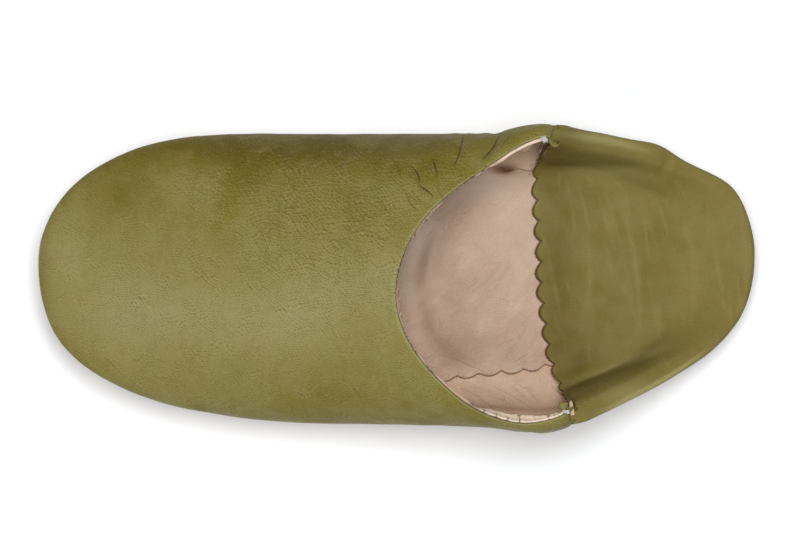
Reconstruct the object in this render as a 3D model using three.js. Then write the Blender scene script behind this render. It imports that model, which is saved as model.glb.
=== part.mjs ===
// A soft leather slipper for the left foot, with its heel folded down: a cupped sole, a padded insole,
// a vamp with its side walls, and a heel quarter folded over onto the insole.
// Millimetres. +X points to the toe, +Y to the outer side of the foot, +Z up; the floor is z = 0.
import * as THREE from "three";

// Driving dimensions.
const LENGTH = 275;
const BALL_WIDTH = 111;
const INSTEP_HEIGHT = 78;
const COLLAR_HEIGHT = 66;
const SEAM_HEIGHT = 24.4;
const TOE_SPRING = 15.8;
const UPPER_WALL = 2;
const SOLE_WALL = 2.6;
const INSOLE_TOP = 10.5;
const INSOLE_THINNING = 3;
const INSOLE_EDGE = 0.8;
const GAP = 0.3;

// The last, a row for each section from heel to toe.
// along: per cent of LENGTH from the heel. inner, outer: reach of the widest line to each side, per cent of
// BALL_WIDTH. tuck: how far the sole seam lies inside the widest line. seam: height of the sole seam,
// per cent of SEAM_HEIGHT. wide: height of the widest line. curl: reach of the sole's rounded edge.
const LAST = [
  { along: 0, inner: 8, outer: -8, tuck: 1, seam: 46, wide: 12.6, curl: 10 },
  { along: 1, inner: 21.5, outer: 7.5, tuck: 1, seam: 46, wide: 12.8, curl: 10 },
  { along: 4.2, inner: 33, outer: 20, tuck: 1.6, seam: 47, wide: 15.5, curl: 11 },
  { along: 10.5, inner: 41.3, outer: 32, tuck: 2.4, seam: 59, wide: 22, curl: 12 },
  { along: 18.5, inner: 48.3, outer: 42.5, tuck: 3.4, seam: 72, wide: 34, curl: 14 },
  { along: 26, inner: 51.8, outer: 50.3, tuck: 4.6, seam: 84, wide: 49, curl: 15 },
  { along: 31, inner: 52.9, outer: 52.6, tuck: 5, seam: 94, wide: 48, curl: 16 },
  { along: 39, inner: 50.2, outer: 50.6, tuck: 4.2, seam: 98, wide: 39, curl: 16 },
  { along: 49, inner: 49.9, outer: 50.1, tuck: 3.8, seam: 98, wide: 33, curl: 16 },
  { along: 59, inner: 50, outer: 49.9, tuck: 3.6, seam: 98, wide: 31, curl: 16 },
  { along: 69, inner: 50, outer: 48.6, tuck: 3.4, seam: 100, wide: 30, curl: 16 },
  { along: 79, inner: 48.8, outer: 44.8, tuck: 3.2, seam: 101, wide: 30, curl: 15 },
  { along: 87.7, inner: 43.5, outer: 38, tuck: 2.8, seam: 101, wide: 30, curl: 13 },
  { along: 94.5, inner: 33.3, outer: 28, tuck: 2, seam: 101, wide: 28.6, curl: 10 },
  { along: 98.6, inner: 20.3, outer: 13.8, tuck: 1.4, seam: 101, wide: 27.6, curl: 7.5 },
  { along: 100, inner: 5.2, outer: -5.2, tuck: 1.2, seam: 101, wide: 27.4, curl: 7 },
];
const INNER_SIDE_SEAM = 29.3;
const OUTER_SIDE_SEAM = 26;
const SIDE_SEAM_GAP = 0.4;

// The vamp's crown along the middle, every tenth of the length from the toe back; behind the throat it is
// where the crown would run. roundness: 2 is an ellipse across the foot, and a larger number is squarer.
const CROWN = [
  { height: 33, roundness: 2.3 },
  { height: 40.2, roundness: 2.3 },
  { height: 51, roundness: 2.2 },
  { height: 61.2, roundness: 2.2 },
  { height: 69.2, roundness: 2.3 },
  { height: INSTEP_HEIGHT, roundness: 2.7 },
  { height: 79.8, roundness: 3.7 },
  { height: 75.5, roundness: 4.8 },
  { height: 68, roundness: 5 },
];
const NOSE_DEPTH = 6;
const MIDDLE_BOW = -6;

// The throat's edge seen from above, from the inner corner round the instep to the outer corner.
const THROAT = [
  { along: 29.8, across: -48.9 },
  { along: 34.4, across: -44.3 },
  { along: 40, across: -34.4 },
  { along: 45.2, across: -23.6 },
  { along: 48.9, across: -9.9 },
  { along: 50.2, across: 6.3 },
  { along: 48.3, across: 22 },
  { along: 44.1, across: 35.1 },
  { along: 38.7, across: 45.4 },
  { along: 32.3, across: 49.2 },
  { along: 26.6, across: 45.8 },
];
// How much closer together the ribs stand at the instep than at the side seams.
const RIB_CROWDING = 0.5;

// The folded quarter, in even steps from the outer side seam round the heel to the inner side seam.
// crest: height of the fold, per cent of COLLAR_HEIGHT. fold: radius of the fold. root: radius where the
// flap comes down to lie flat. along, across: where that step ends, on the flap's edge.
const QUARTER = [
  { crest: 101, fold: 2.9, root: 12, along: 25.8, across: 45 },
  { crest: 74, fold: 2.9, root: 13, along: 27.4, across: 36.5 },
  { crest: 46, fold: 3, root: 18, along: 28.8, across: 26.5 },
  { crest: 32, fold: 3.2, root: 24, along: 29.5, across: 16.5 },
  { crest: 26.6, fold: 3.4, root: 28, along: 30, across: 8 },
  { crest: 26.2, fold: 3.4, root: 28, along: 30.3, across: -1 },
  { crest: 26.6, fold: 3.4, root: 28, along: 30.3, across: -10 },
  { crest: 32, fold: 3.2, root: 24, along: 30.6, across: -19.5 },
  { crest: 46.5, fold: 3, root: 18, along: 30.8, across: -29 },
  { crest: 75, fold: 2.9, root: 13, along: 30.6, across: -38 },
  { crest: 103, fold: 2.9, root: 12, along: 29, across: -46.6 },
];
const FLAP_TOP = INSOLE_TOP + GAP + UPPER_WALL;
const FLAP_STEEPEST = THREE.MathUtils.degToRad(76);

// The sole's underside: flat, with the toe and the heel lifted.
const SPRING_START = 60;
const SPRING_LENGTH = 72;
const HEEL_LIFT = 4;
const HEEL_LIFT_START = -104;
const HEEL_LIFT_LENGTH = 27;
// The middle line that the sole's rings close on, and how near to it they come.
const MIDDLE_FRONT = 46;
const MIDDLE_BACK = -85;
const RING_REACH = 0.85;

// How finely the solids are faceted. BEND_LENGTH is the run of a straight stretch that is given as many
// points as a bend of one radian.
const VAMP_RIBS = 60;
const VAMP_WALL_STEPS = 3;
const DOME_STEPS = 10;
const QUARTER_RIBS = 38;
const QUARTER_WALL_STEPS = 8;
const FOLD_STEPS = 4;
const FLAP_STEPS = 12;
const SOLE_STATIONS = 72;
const CURL_RINGS = 5;
const FLAT_RINGS = 4;
const INSOLE_RINGS = 5;
const OUTLINE_SAMPLES = 600;
const STRETCH_SAMPLES = 96;
const WALL_SAMPLES = 24;
const BEND_LENGTH = 8;

const alongToX = (percent) => (percent / 100 - 0.5) * LENGTH;
const acrossToY = (percent) => (percent / 100) * BALL_WIDTH;
const clamp = (value, low, high) => Math.min(high, Math.max(low, value));
const mix = (a, b, share) => a + (b - a) * share;
const range = (count, make) => Array.from({ length: count }, (_, i) => make(i));

// A smooth curve through one number per row: a cubic B-spline whose weights are found by repeated averaging.
function smoothColumn(values, closed) {
  const passes = 40;
  const n = values.length;
  const weights = [...values];
  const at = (i) => {
    if (closed) return weights[((i % n) + n) % n];
    if (i < 0) return 2 * weights[0] - weights[1];
    if (i >= n) return 2 * weights[n - 1] - weights[n - 2];
    return weights[i];
  };
  for (let pass = 0; pass < passes; pass++)
    for (let i = 0; i < n; i++)
      if (closed || (i > 0 && i < n - 1)) weights[i] = (6 * values[i] - at(i - 1) - at(i + 1)) / 4;
  return (row) => {
    const k = Math.floor(row);
    const f = row - k;
    const before = (1 - f) ** 3 * at(k - 1);
    const here = (3 * f ** 3 - 6 * f ** 2 + 4) * at(k);
    const next = (-3 * f ** 3 + 3 * f ** 2 + 3 * f + 1) * at(k + 1);
    return (before + here + next + f ** 3 * at(k + 2)) / 6;
  };
}

// The columns of a table as curves of the row number.
function columns(table, closed = false) {
  const names = Object.keys(table[0]);
  return Object.fromEntries(names.map((name) => [name, smoothColumn(table.map((row) => row[name]), closed)]));
}

// The last's rows as a ring: from the heel up the inner side to the toe, and back down the outer side.
const TOE_ROW = LAST.length - 1;
const RING_ROWS = 2 * TOE_ROW;
const ring = columns(
  range(RING_ROWS, (i) => {
    const row = LAST[i <= TOE_ROW ? i : RING_ROWS - i];
    return { ...row, across: i <= TOE_ROW ? -row.inner : row.outer };
  }),
  true,
);
const crown = columns(CROWN);
const throat = columns(THROAT);
const quarter = columns(QUARTER);

const widest = (row) => new THREE.Vector2(alongToX(ring.along(row)), acrossToY(ring.across(row)));
const seamHeight = (row) => (ring.seam(row) / 100) * SEAM_HEIGHT;
const seamPoint = (row) => widest(row).addScaledVector(inward(row), ring.tuck(row));

// The direction inward, square to the widest line.
function inward(row) {
  const step = 0.01;
  const run = widest(row + step).sub(widest(row - step));
  return new THREE.Vector2(-run.y, run.x).normalize();
}

// The ring's row at a station on one side, between the heel's row and the toe's row.
function rowAt(along, heelRow) {
  let back = heelRow;
  let front = TOE_ROW;
  while (Math.abs(front - back) > 1e-6) {
    const middle = (front + back) / 2;
    if (ring.along(middle) < along) back = middle;
    else front = middle;
  }
  return front;
}
const INNER_SEAM_ROW = rowAt(INNER_SIDE_SEAM, 0);
const OUTER_SEAM_ROW = rowAt(OUTER_SIDE_SEAM, RING_ROWS);

// How many rows half of the side seam's gap is.
function halfGapRows(row) {
  const step = 0.01;
  return ((SIDE_SEAM_GAP / 2) * step) / widest(row + step).distanceTo(widest(row));
}

// The widest line as points, for the width at a station and the distance from the edge.
const OUTLINE = range(OUTLINE_SAMPLES, (i) => {
  const row = (i / OUTLINE_SAMPLES) * RING_ROWS;
  return { row, point: widest(row) };
});
const OUTLINE_SIDES = OUTLINE.map((a, i) => ({ a, b: OUTLINE[(i + 1) % OUTLINE_SAMPLES] }));

const middleY = (x) => MIDDLE_BOW * (x / (LENGTH / 2)) ** 2;

// How far the widest line lies from the middle at a station, to one side (-1 inner, 1 outer).
function halfWidth(x, side) {
  let reach = 0;
  for (const { a, b } of OUTLINE_SIDES) {
    if ((a.point.x - x) * (b.point.x - x) > 0 || a.point.x === b.point.x) continue;
    const y = mix(a.point.y, b.point.y, (x - a.point.x) / (b.point.x - a.point.x));
    reach = Math.max(reach, side * (y - middleY(x)));
  }
  return reach;
}

// The vamp's dome over a point of the plan: the crown at that station, falling to the widest line.
function domeHeight(plan, wide) {
  const side = plan.y < middleY(plan.x) ? -1 : 1;
  const share = clamp((side * (plan.y - middleY(plan.x))) / halfWidth(plan.x, side), 0, 1);
  const station = clamp((0.5 - plan.x / LENGTH) * 10, 0, CROWN.length - 1);
  const power = crown.roundness(station);
  const across = (1 - share ** power) ** (1 / power);
  const toTip = clamp((LENGTH / 2 - plan.x) / NOSE_DEPTH, 0, 1);
  const nose = Math.sqrt(1 - (1 - toTip) ** 2);
  return wide + (crown.height(station) - wide) * across * nose;
}

// The wall between the sole seam and the widest line: it leans out and ends upright.
function tuckedWall(row) {
  const foot = seamPoint(row);
  const top = widest(row);
  return range(WALL_SAMPLES + 1, (i) => {
    const rise = i / WALL_SAMPLES;
    const plan = top.clone().lerp(foot, (1 - rise) ** 2);
    return new THREE.Vector3(plan.x, plan.y, mix(seamHeight(row) + GAP / 2, ring.wide(row), rise));
  });
}

// A rib of the vamp, from the sole seam over the widest line to the throat's edge.
function vampRib(row) {
  const share = (row - INNER_SEAM_ROW) / (OUTER_SEAM_ROW - INNER_SEAM_ROW);
  const crowded = share + (RIB_CROWDING * Math.sin(2 * Math.PI * share)) / (2 * Math.PI);
  const place = crowded * (THROAT.length - 1);
  const edge = new THREE.Vector2(alongToX(throat.along(place)), acrossToY(throat.across(place)));
  const dome = range(STRETCH_SAMPLES + 1, (i) => {
    const plan = widest(row).lerp(edge, (i / STRETCH_SAMPLES) ** 2);
    return new THREE.Vector3(plan.x, plan.y, domeHeight(plan, ring.wide(row)));
  });
  return joined([
    { line: tuckedWall(row), steps: VAMP_WALL_STEPS },
    { line: dome, steps: DOME_STEPS },
  ]);
}

// The height of the flap at a distance in from the fold's crest: round the fold, steeply down, and round
// again to lie flat on the insole.
function flapHeight(inside, crest, fold, root) {
  const fall = crest - FLAP_TOP;
  const slope = Math.acos(clamp(1 - fall / (fold + root), Math.cos(FLAP_STEEPEST), 1));
  const foldRun = fold * Math.sin(slope);
  const straightFall = Math.max(0, fall - (fold + root) * (1 - Math.cos(slope)));
  const straightRun = straightFall / Math.tan(slope);
  const past = inside - foldRun;
  if (past < 0) return crest - fold + Math.sqrt(fold ** 2 - inside ** 2);
  if (past < straightRun) return crest - fold * (1 - Math.cos(slope)) - past * Math.tan(slope);
  const left = Math.max(0, root * Math.sin(slope) - (past - straightRun));
  return FLAP_TOP + root - Math.sqrt(root ** 2 - left ** 2);
}

// A rib of the quarter: up the outside, over the fold, and down and forward to the flap's edge.
function quarterRib(row) {
  const share = (row - OUTER_SEAM_ROW) / (INNER_SEAM_ROW + RING_ROWS - OUTER_SEAM_ROW);
  const place = share * (QUARTER.length - 1);
  const crest = (quarter.crest(place) / 100) * COLLAR_HEIGHT;
  const fold = quarter.fold(place);
  const shoulder = Math.max(crest - fold, ring.wide(row));
  const start = widest(row);
  const inwards = inward(row);
  const wall = [...tuckedWall(row), new THREE.Vector3(start.x, start.y, shoulder)];
  const turn = range(WALL_SAMPLES + 1, (i) => {
    const angle = (i / WALL_SAMPLES) * (Math.PI / 2);
    const plan = start.clone().addScaledVector(inwards, fold * (1 - Math.cos(angle)));
    return new THREE.Vector3(plan.x, plan.y, mix(shoulder, crest, Math.sin(angle)));
  });
  const top = start.clone().addScaledVector(inwards, fold);
  const edge = new THREE.Vector2(alongToX(quarter.along(place)), acrossToY(quarter.across(place)));
  const flap = range(STRETCH_SAMPLES + 1, (i) => {
    const plan = top.clone().lerp(edge, (i / STRETCH_SAMPLES) ** 1.5);
    const inside = plan.clone().sub(top).dot(inwards);
    return new THREE.Vector3(plan.x, plan.y, flapHeight(inside, crest, fold, quarter.root(place)));
  });
  return joined([
    { line: wall, steps: QUARTER_WALL_STEPS },
    { line: turn, steps: FOLD_STEPS },
    { line: flap, steps: FLAP_STEPS },
  ]);
}

// A rib from its stretches, each with its own number of steps, so that the folds of all ribs line up.
function joined(stretches) {
  return stretches.flatMap(({ line, steps }, i) => respaced(line, steps).slice(i ? 1 : 0));
}

// The same line with fewer points, spread evenly along it but closer where it bends.
function respaced(line, steps) {
  const runs = [0];
  for (let i = 1; i < line.length; i++) {
    const run = line[i].clone().sub(line[i - 1]);
    const next = line[Math.min(i + 1, line.length - 1)].clone().sub(line[i]);
    const bend = run.lengthSq() && next.lengthSq() ? run.angleTo(next) : 0;
    runs.push(runs[i - 1] + run.length() + bend * BEND_LENGTH);
  }
  let k = 1;
  return range(steps + 1, (j) => {
    const target = (j / steps) * runs[runs.length - 1];
    while (k < line.length - 1 && runs[k] < target) k++;
    const share = clamp((target - runs[k - 1]) / (runs[k] - runs[k - 1] || 1), 0, 1);
    return line[k - 1].clone().lerp(line[k], share);
  });
}

const toeLift = (x) => Math.max(0, (x - SPRING_START) / SPRING_LENGTH) ** 1.5 * TOE_SPRING;
const heelLift = (x) => Math.max(0, (HEEL_LIFT_START - x) / HEEL_LIFT_LENGTH) ** 1.5 * HEEL_LIFT;

// A line of the sole's outside, from the seam round the curled edge and across the flat towards the middle.
function soleLine(row) {
  const edge = seamPoint(row);
  const x = clamp(edge.x, MIDDLE_BACK, MIDDLE_FRONT);
  const run = new THREE.Vector2(x, middleY(x)).sub(edge);
  const curlShare = ring.curl(row) / run.length();
  return range(CURL_RINGS + FLAT_RINGS + 1, (k) => {
    const turn = Math.min(1, k / CURL_RINGS) * (Math.PI / 2);
    const beyond = Math.max(0, k - CURL_RINGS) / FLAT_RINGS;
    const plan = edge.clone().addScaledVector(run, mix(curlShare * (1 - Math.cos(turn)), RING_REACH, beyond));
    const base = toeLift(plan.x) + heelLift(plan.x);
    return new THREE.Vector3(plan.x, plan.y, base + (seamHeight(row) - GAP / 2 - base) * (1 - Math.sin(turn)));
  });
}

// A grid of points moved square to its own surface. The first points, on the seam, keep their height, and
// an open grid's end lines move square to the side seam's gap.
function offsetGrid(grid, distance, closed) {
  const rows = grid.length;
  return grid.map((line, i) => {
    const ahead = closed ? grid[(i + 1) % rows] : grid[Math.min(i + 1, rows - 1)];
    const behind = closed ? grid[(i + rows - 1) % rows] : grid[Math.max(i - 1, 0)];
    const atEnd = !closed && (i === 0 || i === rows - 1);
    return line.map((point, j) => {
      const alongRows = ahead[atEnd ? 0 : j].clone().sub(behind[atEnd ? 0 : j]);
      if (atEnd) alongRows.z = 0;
      const alongLine = line[Math.min(j + 1, line.length - 1)].clone().sub(line[Math.max(j - 1, 0)]);
      const moved = point.clone().addScaledVector(alongRows.cross(alongLine).normalize(), distance);
      if (j === 0) moved.z = point.z;
      return moved;
    });
  });
}

// A closed solid between two grids of points that face each other. A ring of lines has its inmost points
// capped on both faces; an open grid has all four of its edges closed.
function solidBetween(outer, inner, closed) {
  const faces = [];
  const rows = outer.length;
  const steps = outer[0].length;
  const points = [...outer.flat(), ...inner.flat()];
  const at = (side, i, j) => side * rows * steps + (i % rows) * steps + j;
  const quad = (a, b, c, d) => faces.push([a, b, c], [a, c, d]);
  for (let i = 0; i < (closed ? rows : rows - 1); i++) {
    for (let j = 0; j < steps - 1; j++) {
      quad(at(0, i, j), at(0, i + 1, j), at(0, i + 1, j + 1), at(0, i, j + 1));
      quad(at(1, i, j), at(1, i, j + 1), at(1, i + 1, j + 1), at(1, i + 1, j));
    }
    quad(at(0, i, 0), at(1, i, 0), at(1, i + 1, 0), at(0, i + 1, 0));
    if (!closed) quad(at(0, i, steps - 1), at(0, i + 1, steps - 1), at(1, i + 1, steps - 1), at(1, i, steps - 1));
  }
  if (closed) {
    for (const side of [0, 1]) {
      const cap = (side ? inner : outer).map((line) => line[steps - 1]);
      const flat = cap.map((point) => new THREE.Vector2(point.x, point.y));
      for (const corners of THREE.ShapeUtils.triangulateShape(flat, [])) {
        const face = corners.map((corner) => at(side, corner, steps - 1));
        faces.push(side ? face.reverse() : face);
      }
    }
  } else {
    for (let j = 0; j < steps - 1; j++) {
      quad(at(0, 0, j), at(0, 0, j + 1), at(1, 0, j + 1), at(1, 0, j));
      quad(at(0, rows - 1, j), at(1, rows - 1, j), at(1, rows - 1, j + 1), at(0, rows - 1, j + 1));
    }
  }
  const volume = faces.reduce((sum, [a, b, c]) => sum + points[a].dot(points[b].clone().cross(points[c])), 0);
  const geometry = new THREE.BufferGeometry().setFromPoints(points);
  geometry.setIndex((volume < 0 ? faces.map((face) => face.reverse()) : faces).flat());
  geometry.computeVertexNormals();
  return geometry;
}

function hollowWall(rib, firstRow, lastRow, count) {
  const outside = range(count + 1, (i) => rib(mix(firstRow, lastRow, i / count)));
  return solidBetween(outside, offsetGrid(outside, -UPPER_WALL, false), false);
}

function vampGeometry() {
  const firstRow = INNER_SEAM_ROW + halfGapRows(INNER_SEAM_ROW);
  const lastRow = OUTER_SEAM_ROW - halfGapRows(OUTER_SEAM_ROW);
  return hollowWall(vampRib, firstRow, lastRow, VAMP_RIBS);
}

function quarterGeometry() {
  const firstRow = OUTER_SEAM_ROW + halfGapRows(OUTER_SEAM_ROW);
  const lastRow = RING_ROWS + INNER_SEAM_ROW - halfGapRows(INNER_SEAM_ROW);
  return hollowWall(quarterRib, firstRow, lastRow, QUARTER_RIBS);
}

const soleOutside = range(SOLE_STATIONS, (i) => soleLine((i / SOLE_STATIONS) * RING_ROWS));

function soleGeometry() {
  return solidBetween(soleOutside, offsetGrid(soleOutside, SOLE_WALL, true), true);
}

// The insole's upper face: level over the heel and thinner towards the toe.
function insoleHeight(x) {
  const forward = clamp((x + LENGTH / 4) / (LENGTH / 2), 0, 1);
  return toeLift(x) + INSOLE_TOP - INSOLE_THINNING * forward ** 2 * (3 - 2 * forward);
}

// The padded insole: it lies in the sole's cup, and its edge is where the cup's wall reaches its upper face.
function insoleGeometry() {
  const underside = offsetGrid(soleOutside, SOLE_WALL + GAP, true).map((line) => {
    const depth = (point) => insoleHeight(point.x) - INSOLE_EDGE - point.z;
    const first = line.findIndex((point) => depth(point) > 0);
    const share = depth(line[first - 1]) / (depth(line[first - 1]) - depth(line[first]));
    const edge = line[first - 1].clone().lerp(line[first], share);
    return respaced([edge, ...line.slice(first)], INSOLE_RINGS);
  });
  const upperFace = underside.map((line) =>
    line.map((point) => new THREE.Vector3(point.x, point.y, insoleHeight(point.x))),
  );
  return solidBetween(underside, upperFace, true);
}

const leather = (color, roughness) => new THREE.MeshStandardMaterial({ color, roughness, metalness: 0 });

const slipper = new THREE.Group();
function addPiece(name, geometry, material) {
  const mesh = new THREE.Mesh(geometry, material);
  mesh.name = name;
  slipper.add(mesh);
}
addPiece("sole", soleGeometry(), leather(0xdcc4ae, 0.65));
addPiece("insole", insoleGeometry(), leather(0xd3b9a6, 0.6));
addPiece("upper_vamp", vampGeometry(), leather(0x837d42, 0.5));
addPiece("upper_quarter", quarterGeometry(), leather(0x7c6f38, 0.5));

export default slipper;
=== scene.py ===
# %% [markdown]
# # A soft leather slipper with its heel folded down
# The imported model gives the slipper's frame in metres: +X to the toe, +Y to the outer side, +Z up.
# Its four solids are plain walls, so each is replaced here by the leathers that a maker sews together:
# outer leather, lining, padded footbed, sock and cupped sole, and the stitches that hold them.

# %% The frame
import math
import random
import bmesh
import bpy
import numpy as np
from mathutils import Matrix, Vector, noise


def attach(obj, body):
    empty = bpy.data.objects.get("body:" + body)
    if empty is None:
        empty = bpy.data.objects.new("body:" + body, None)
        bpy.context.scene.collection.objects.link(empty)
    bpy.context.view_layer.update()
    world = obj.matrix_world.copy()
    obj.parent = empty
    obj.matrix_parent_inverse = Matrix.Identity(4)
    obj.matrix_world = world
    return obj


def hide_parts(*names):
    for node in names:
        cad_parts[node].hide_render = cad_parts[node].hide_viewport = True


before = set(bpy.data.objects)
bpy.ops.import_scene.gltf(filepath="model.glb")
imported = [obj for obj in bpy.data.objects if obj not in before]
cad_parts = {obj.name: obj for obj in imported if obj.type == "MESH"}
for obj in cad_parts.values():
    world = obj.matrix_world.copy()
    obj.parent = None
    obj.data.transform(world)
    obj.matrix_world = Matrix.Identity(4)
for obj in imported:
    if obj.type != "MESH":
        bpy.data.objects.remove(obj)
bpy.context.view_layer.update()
MM = 0.001

# %% [markdown]
# ## The last
# Every leather follows one last, so the same short tables and laws as in the part's source are used.
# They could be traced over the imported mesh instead, but a law gives each leather its own fine grid whose
# lines run as the leather was cut: across the vamp from seam to throat, and over the fold of the heel.
# All of this is in millimetres; only the finished meshes are in metres.

# %% The last's sizes and tables
LENGTH = 275
BALL_WIDTH = 111
INSTEP_HEIGHT = 78
COLLAR_HEIGHT = 66
SEAM_HEIGHT = 24.4
TOE_SPRING = 15.8
SOLE_WALL = 2.6
INSOLE_TOP = 10.5
INSOLE_THINNING = 3
FLAP_TOP = 12.8
SEAM_GAP = 0.3
SIDE_GAP = 0.4
INNER_SIDE_SEAM = 29.3
OUTER_SIDE_SEAM = 26
NOSE_DEPTH = 6
MIDDLE_BOW = -6
MIDDLE_FRONT = 46
MIDDLE_BACK = -85
SPRING_START = 60
SPRING_LENGTH = 72
HEEL_LIFT = 4
HEEL_LIFT_START = -104
HEEL_LIFT_LENGTH = 27
RIB_CROWDING = 0.5
FLAP_STEEPEST = math.radians(76)

# Heel to toe: along the length, reach to the inner and outer side, tuck of the seam, height of the seam,
# height of the widest line, reach of the sole's rounded edge.
LAST_COLUMNS = "along inner outer tuck seam wide curl"
LAST = (
    (0, 8, -8, 1, 46, 12.6, 10),
    (1, 21.5, 7.5, 1, 46, 12.8, 10),
    (4.2, 33, 20, 1.6, 47, 15.5, 11),
    (10.5, 41.3, 32, 2.4, 59, 22, 12),
    (18.5, 48.3, 42.5, 3.4, 72, 34, 14),
    (26, 51.8, 50.3, 4.6, 84, 49, 15),
    (31, 52.9, 52.6, 5, 94, 48, 16),
    (39, 50.2, 50.6, 4.2, 98, 39, 16),
    (49, 49.9, 50.1, 3.8, 98, 33, 16),
    (59, 50, 49.9, 3.6, 98, 31, 16),
    (69, 50, 48.6, 3.4, 100, 30, 16),
    (79, 48.8, 44.8, 3.2, 101, 30, 15),
    (87.7, 43.5, 38, 2.8, 101, 30, 13),
    (94.5, 33.3, 28, 2, 101, 28.6, 10),
    (98.6, 20.3, 13.8, 1.4, 101, 27.6, 7.5),
    (100, 5.2, -5.2, 1.2, 101, 27.4, 7),
)
# Toe to heel, every tenth of the length: height of the crown and how square it is across.
CROWN_COLUMNS = "height roundness"
CROWN = (
    (33, 2.3), (40.2, 2.3), (51, 2.2), (61.2, 2.2), (69.2, 2.3), (INSTEP_HEIGHT, 2.7), (79.8, 3.7),
    (75.5, 4.8), (68, 5),
)
# The throat's edge, from the inner corner round the instep to the outer corner.
THROAT_COLUMNS = "along across"
THROAT = (
    (29.8, -48.9), (34.4, -44.3), (40, -34.4), (45.2, -23.6), (48.9, -9.9), (50.2, 6.3), (48.3, 22),
    (44.1, 35.1), (38.7, 45.4), (32.3, 49.2), (26.6, 45.8),
)
# The folded quarter, from the outer seam round the heel: height and radius of the fold, radius of the
# flap's root, and where the flap ends.
QUARTER_COLUMNS = "crest fold root along across"
QUARTER = (
    (101, 2.9, 12, 25.8, 45),
    (74, 2.9, 13, 27.4, 36.5),
    (46, 3, 18, 28.8, 26.5),
    (32, 3.2, 24, 29.5, 16.5),
    (26.6, 3.4, 28, 30, 8),
    (26.2, 3.4, 28, 30.3, -1),
    (26.6, 3.4, 28, 30.3, -10),
    (32, 3.2, 24, 30.6, -19.5),
    (46.5, 3, 18, 30.8, -29),
    (75, 2.9, 13, 30.6, -38),
    (103, 2.9, 12, 29, -46.6),
)


# %% Smooth columns
AVERAGINGS = 40


def smooth_column(values, closed):
    """A cubic B-spline through one number per row; its weights come from repeated averaging."""
    count = len(values)
    weights = [float(value) for value in values]

    def at(i):
        if closed:
            return weights[i % count]
        if i < 0:
            return 2 * weights[0] - weights[1]
        if i >= count:
            return 2 * weights[-1] - weights[-2]
        return weights[i]

    for _ in range(AVERAGINGS):
        for i in range(count):
            if closed or 0 < i < count - 1:
                weights[i] = (6 * values[i] - at(i - 1) - at(i + 1)) / 4
    padded = np.array([at(i) for i in range(-2, count + 3)])

    def curve(rows):
        rows = np.asarray(rows, float)
        k = np.floor(rows).astype(int)
        f = rows - k
        around = [k + step for step in (-1, 0, 1, 2)]
        near = [padded[(i % count if closed else np.clip(i, -2, count + 2)) + 2] for i in around]
        shares = ((1 - f) ** 3, 3 * f**3 - 6 * f**2 + 4, -3 * f**3 + 3 * f**2 + 3 * f + 1, f**3)
        return sum(share * value for share, value in zip(shares, near)) / 6

    return curve


def columns(names, table, closed=False):
    return {name: smooth_column(values, closed) for name, values in zip(names.split(), zip(*table))}


TOE_ROW = len(LAST) - 1
RING_ROWS = 2 * TOE_ROW
ring_table = [row + (-row[1],) for row in LAST] + [row + (row[2],) for row in LAST[-2:0:-1]]
ring = columns(LAST_COLUMNS + " across", ring_table, closed=True)
crown = columns(CROWN_COLUMNS, CROWN)
throat = columns(THROAT_COLUMNS, THROAT)
quarter = columns(QUARTER_COLUMNS, QUARTER)
print("ring rows", RING_ROWS)


# %% Points and directions on the last
ROW_STEP = 0.01


def mix(a, b, share):
    return a + (b - a) * share


def smoothstep(value, low, high):
    share = np.clip((value - low) / (high - low), 0, 1)
    return share * share * (3 - 2 * share)


def bell(value, centre, reach):
    return np.exp(-(((value - centre) / reach) ** 2))


def unit(vectors):
    return vectors / np.maximum(np.linalg.norm(vectors, axis=-1, keepdims=True), 1e-9)


def raised(plan, height):
    """Points of the plan at their heights."""
    return np.concatenate([plan, height[..., None]], -1)


def run_along(points, axis=0):
    """The length run up to each point, from 0 at the first."""
    steps = np.linalg.norm(np.diff(points, axis=axis), axis=-1)
    start = [(int(at == axis), 0) for at in range(steps.ndim)]
    return np.pad(np.cumsum(steps, axis), start)


def plan_of(along, across):
    return np.stack([(along / 100 - 0.5) * LENGTH, across / 100 * BALL_WIDTH], -1)


def widest(rows):
    return plan_of(ring["along"](rows), ring["across"](rows))


def inward(rows):
    run = widest(rows + ROW_STEP) - widest(rows - ROW_STEP)
    return unit(np.stack([-run[..., 1], run[..., 0]], -1))


def seam_plan(rows):
    return widest(rows) + inward(rows) * ring["tuck"](rows)[..., None]


def seam_height(rows):
    return ring["seam"](rows) / 100 * SEAM_HEIGHT


def middle_y(x):
    return MIDDLE_BOW * (x / (LENGTH / 2)) ** 2


def toe_lift(x):
    return np.maximum(0, (x - SPRING_START) / SPRING_LENGTH) ** 1.5 * TOE_SPRING


def heel_lift(x):
    return np.maximum(0, (HEEL_LIFT_START - x) / HEEL_LIFT_LENGTH) ** 1.5 * HEEL_LIFT


def insole_height(x):
    return toe_lift(x) + INSOLE_TOP - INSOLE_THINNING * smoothstep(x, -LENGTH / 4, LENGTH / 4)


FINE_ROWS = 6001
fine_rows = np.linspace(0, RING_ROWS, FINE_ROWS)
fine_plan = widest(fine_rows)
inner_half = fine_rows <= TOE_ROW
outer_half = fine_rows >= TOE_ROW


def row_at_x(x, outer):
    """The ring's row at a station on one side."""
    if outer:
        return np.interp(x, fine_plan[outer_half, 0][::-1], fine_rows[outer_half][::-1])
    return np.interp(x, fine_plan[inner_half, 0], fine_rows[inner_half])


def half_width(x, side):
    y = widest(row_at_x(x, side > 0))[..., 1]
    return np.maximum(0.05, side * (y - middle_y(x)))


INNER_SEAM_ROW = float(row_at_x((INNER_SIDE_SEAM / 100 - 0.5) * LENGTH, False))
OUTER_SEAM_ROW = float(row_at_x((OUTER_SIDE_SEAM / 100 - 0.5) * LENGTH, True))
print("side seams at rows", round(INNER_SEAM_ROW, 3), round(OUTER_SEAM_ROW, 3))


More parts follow.
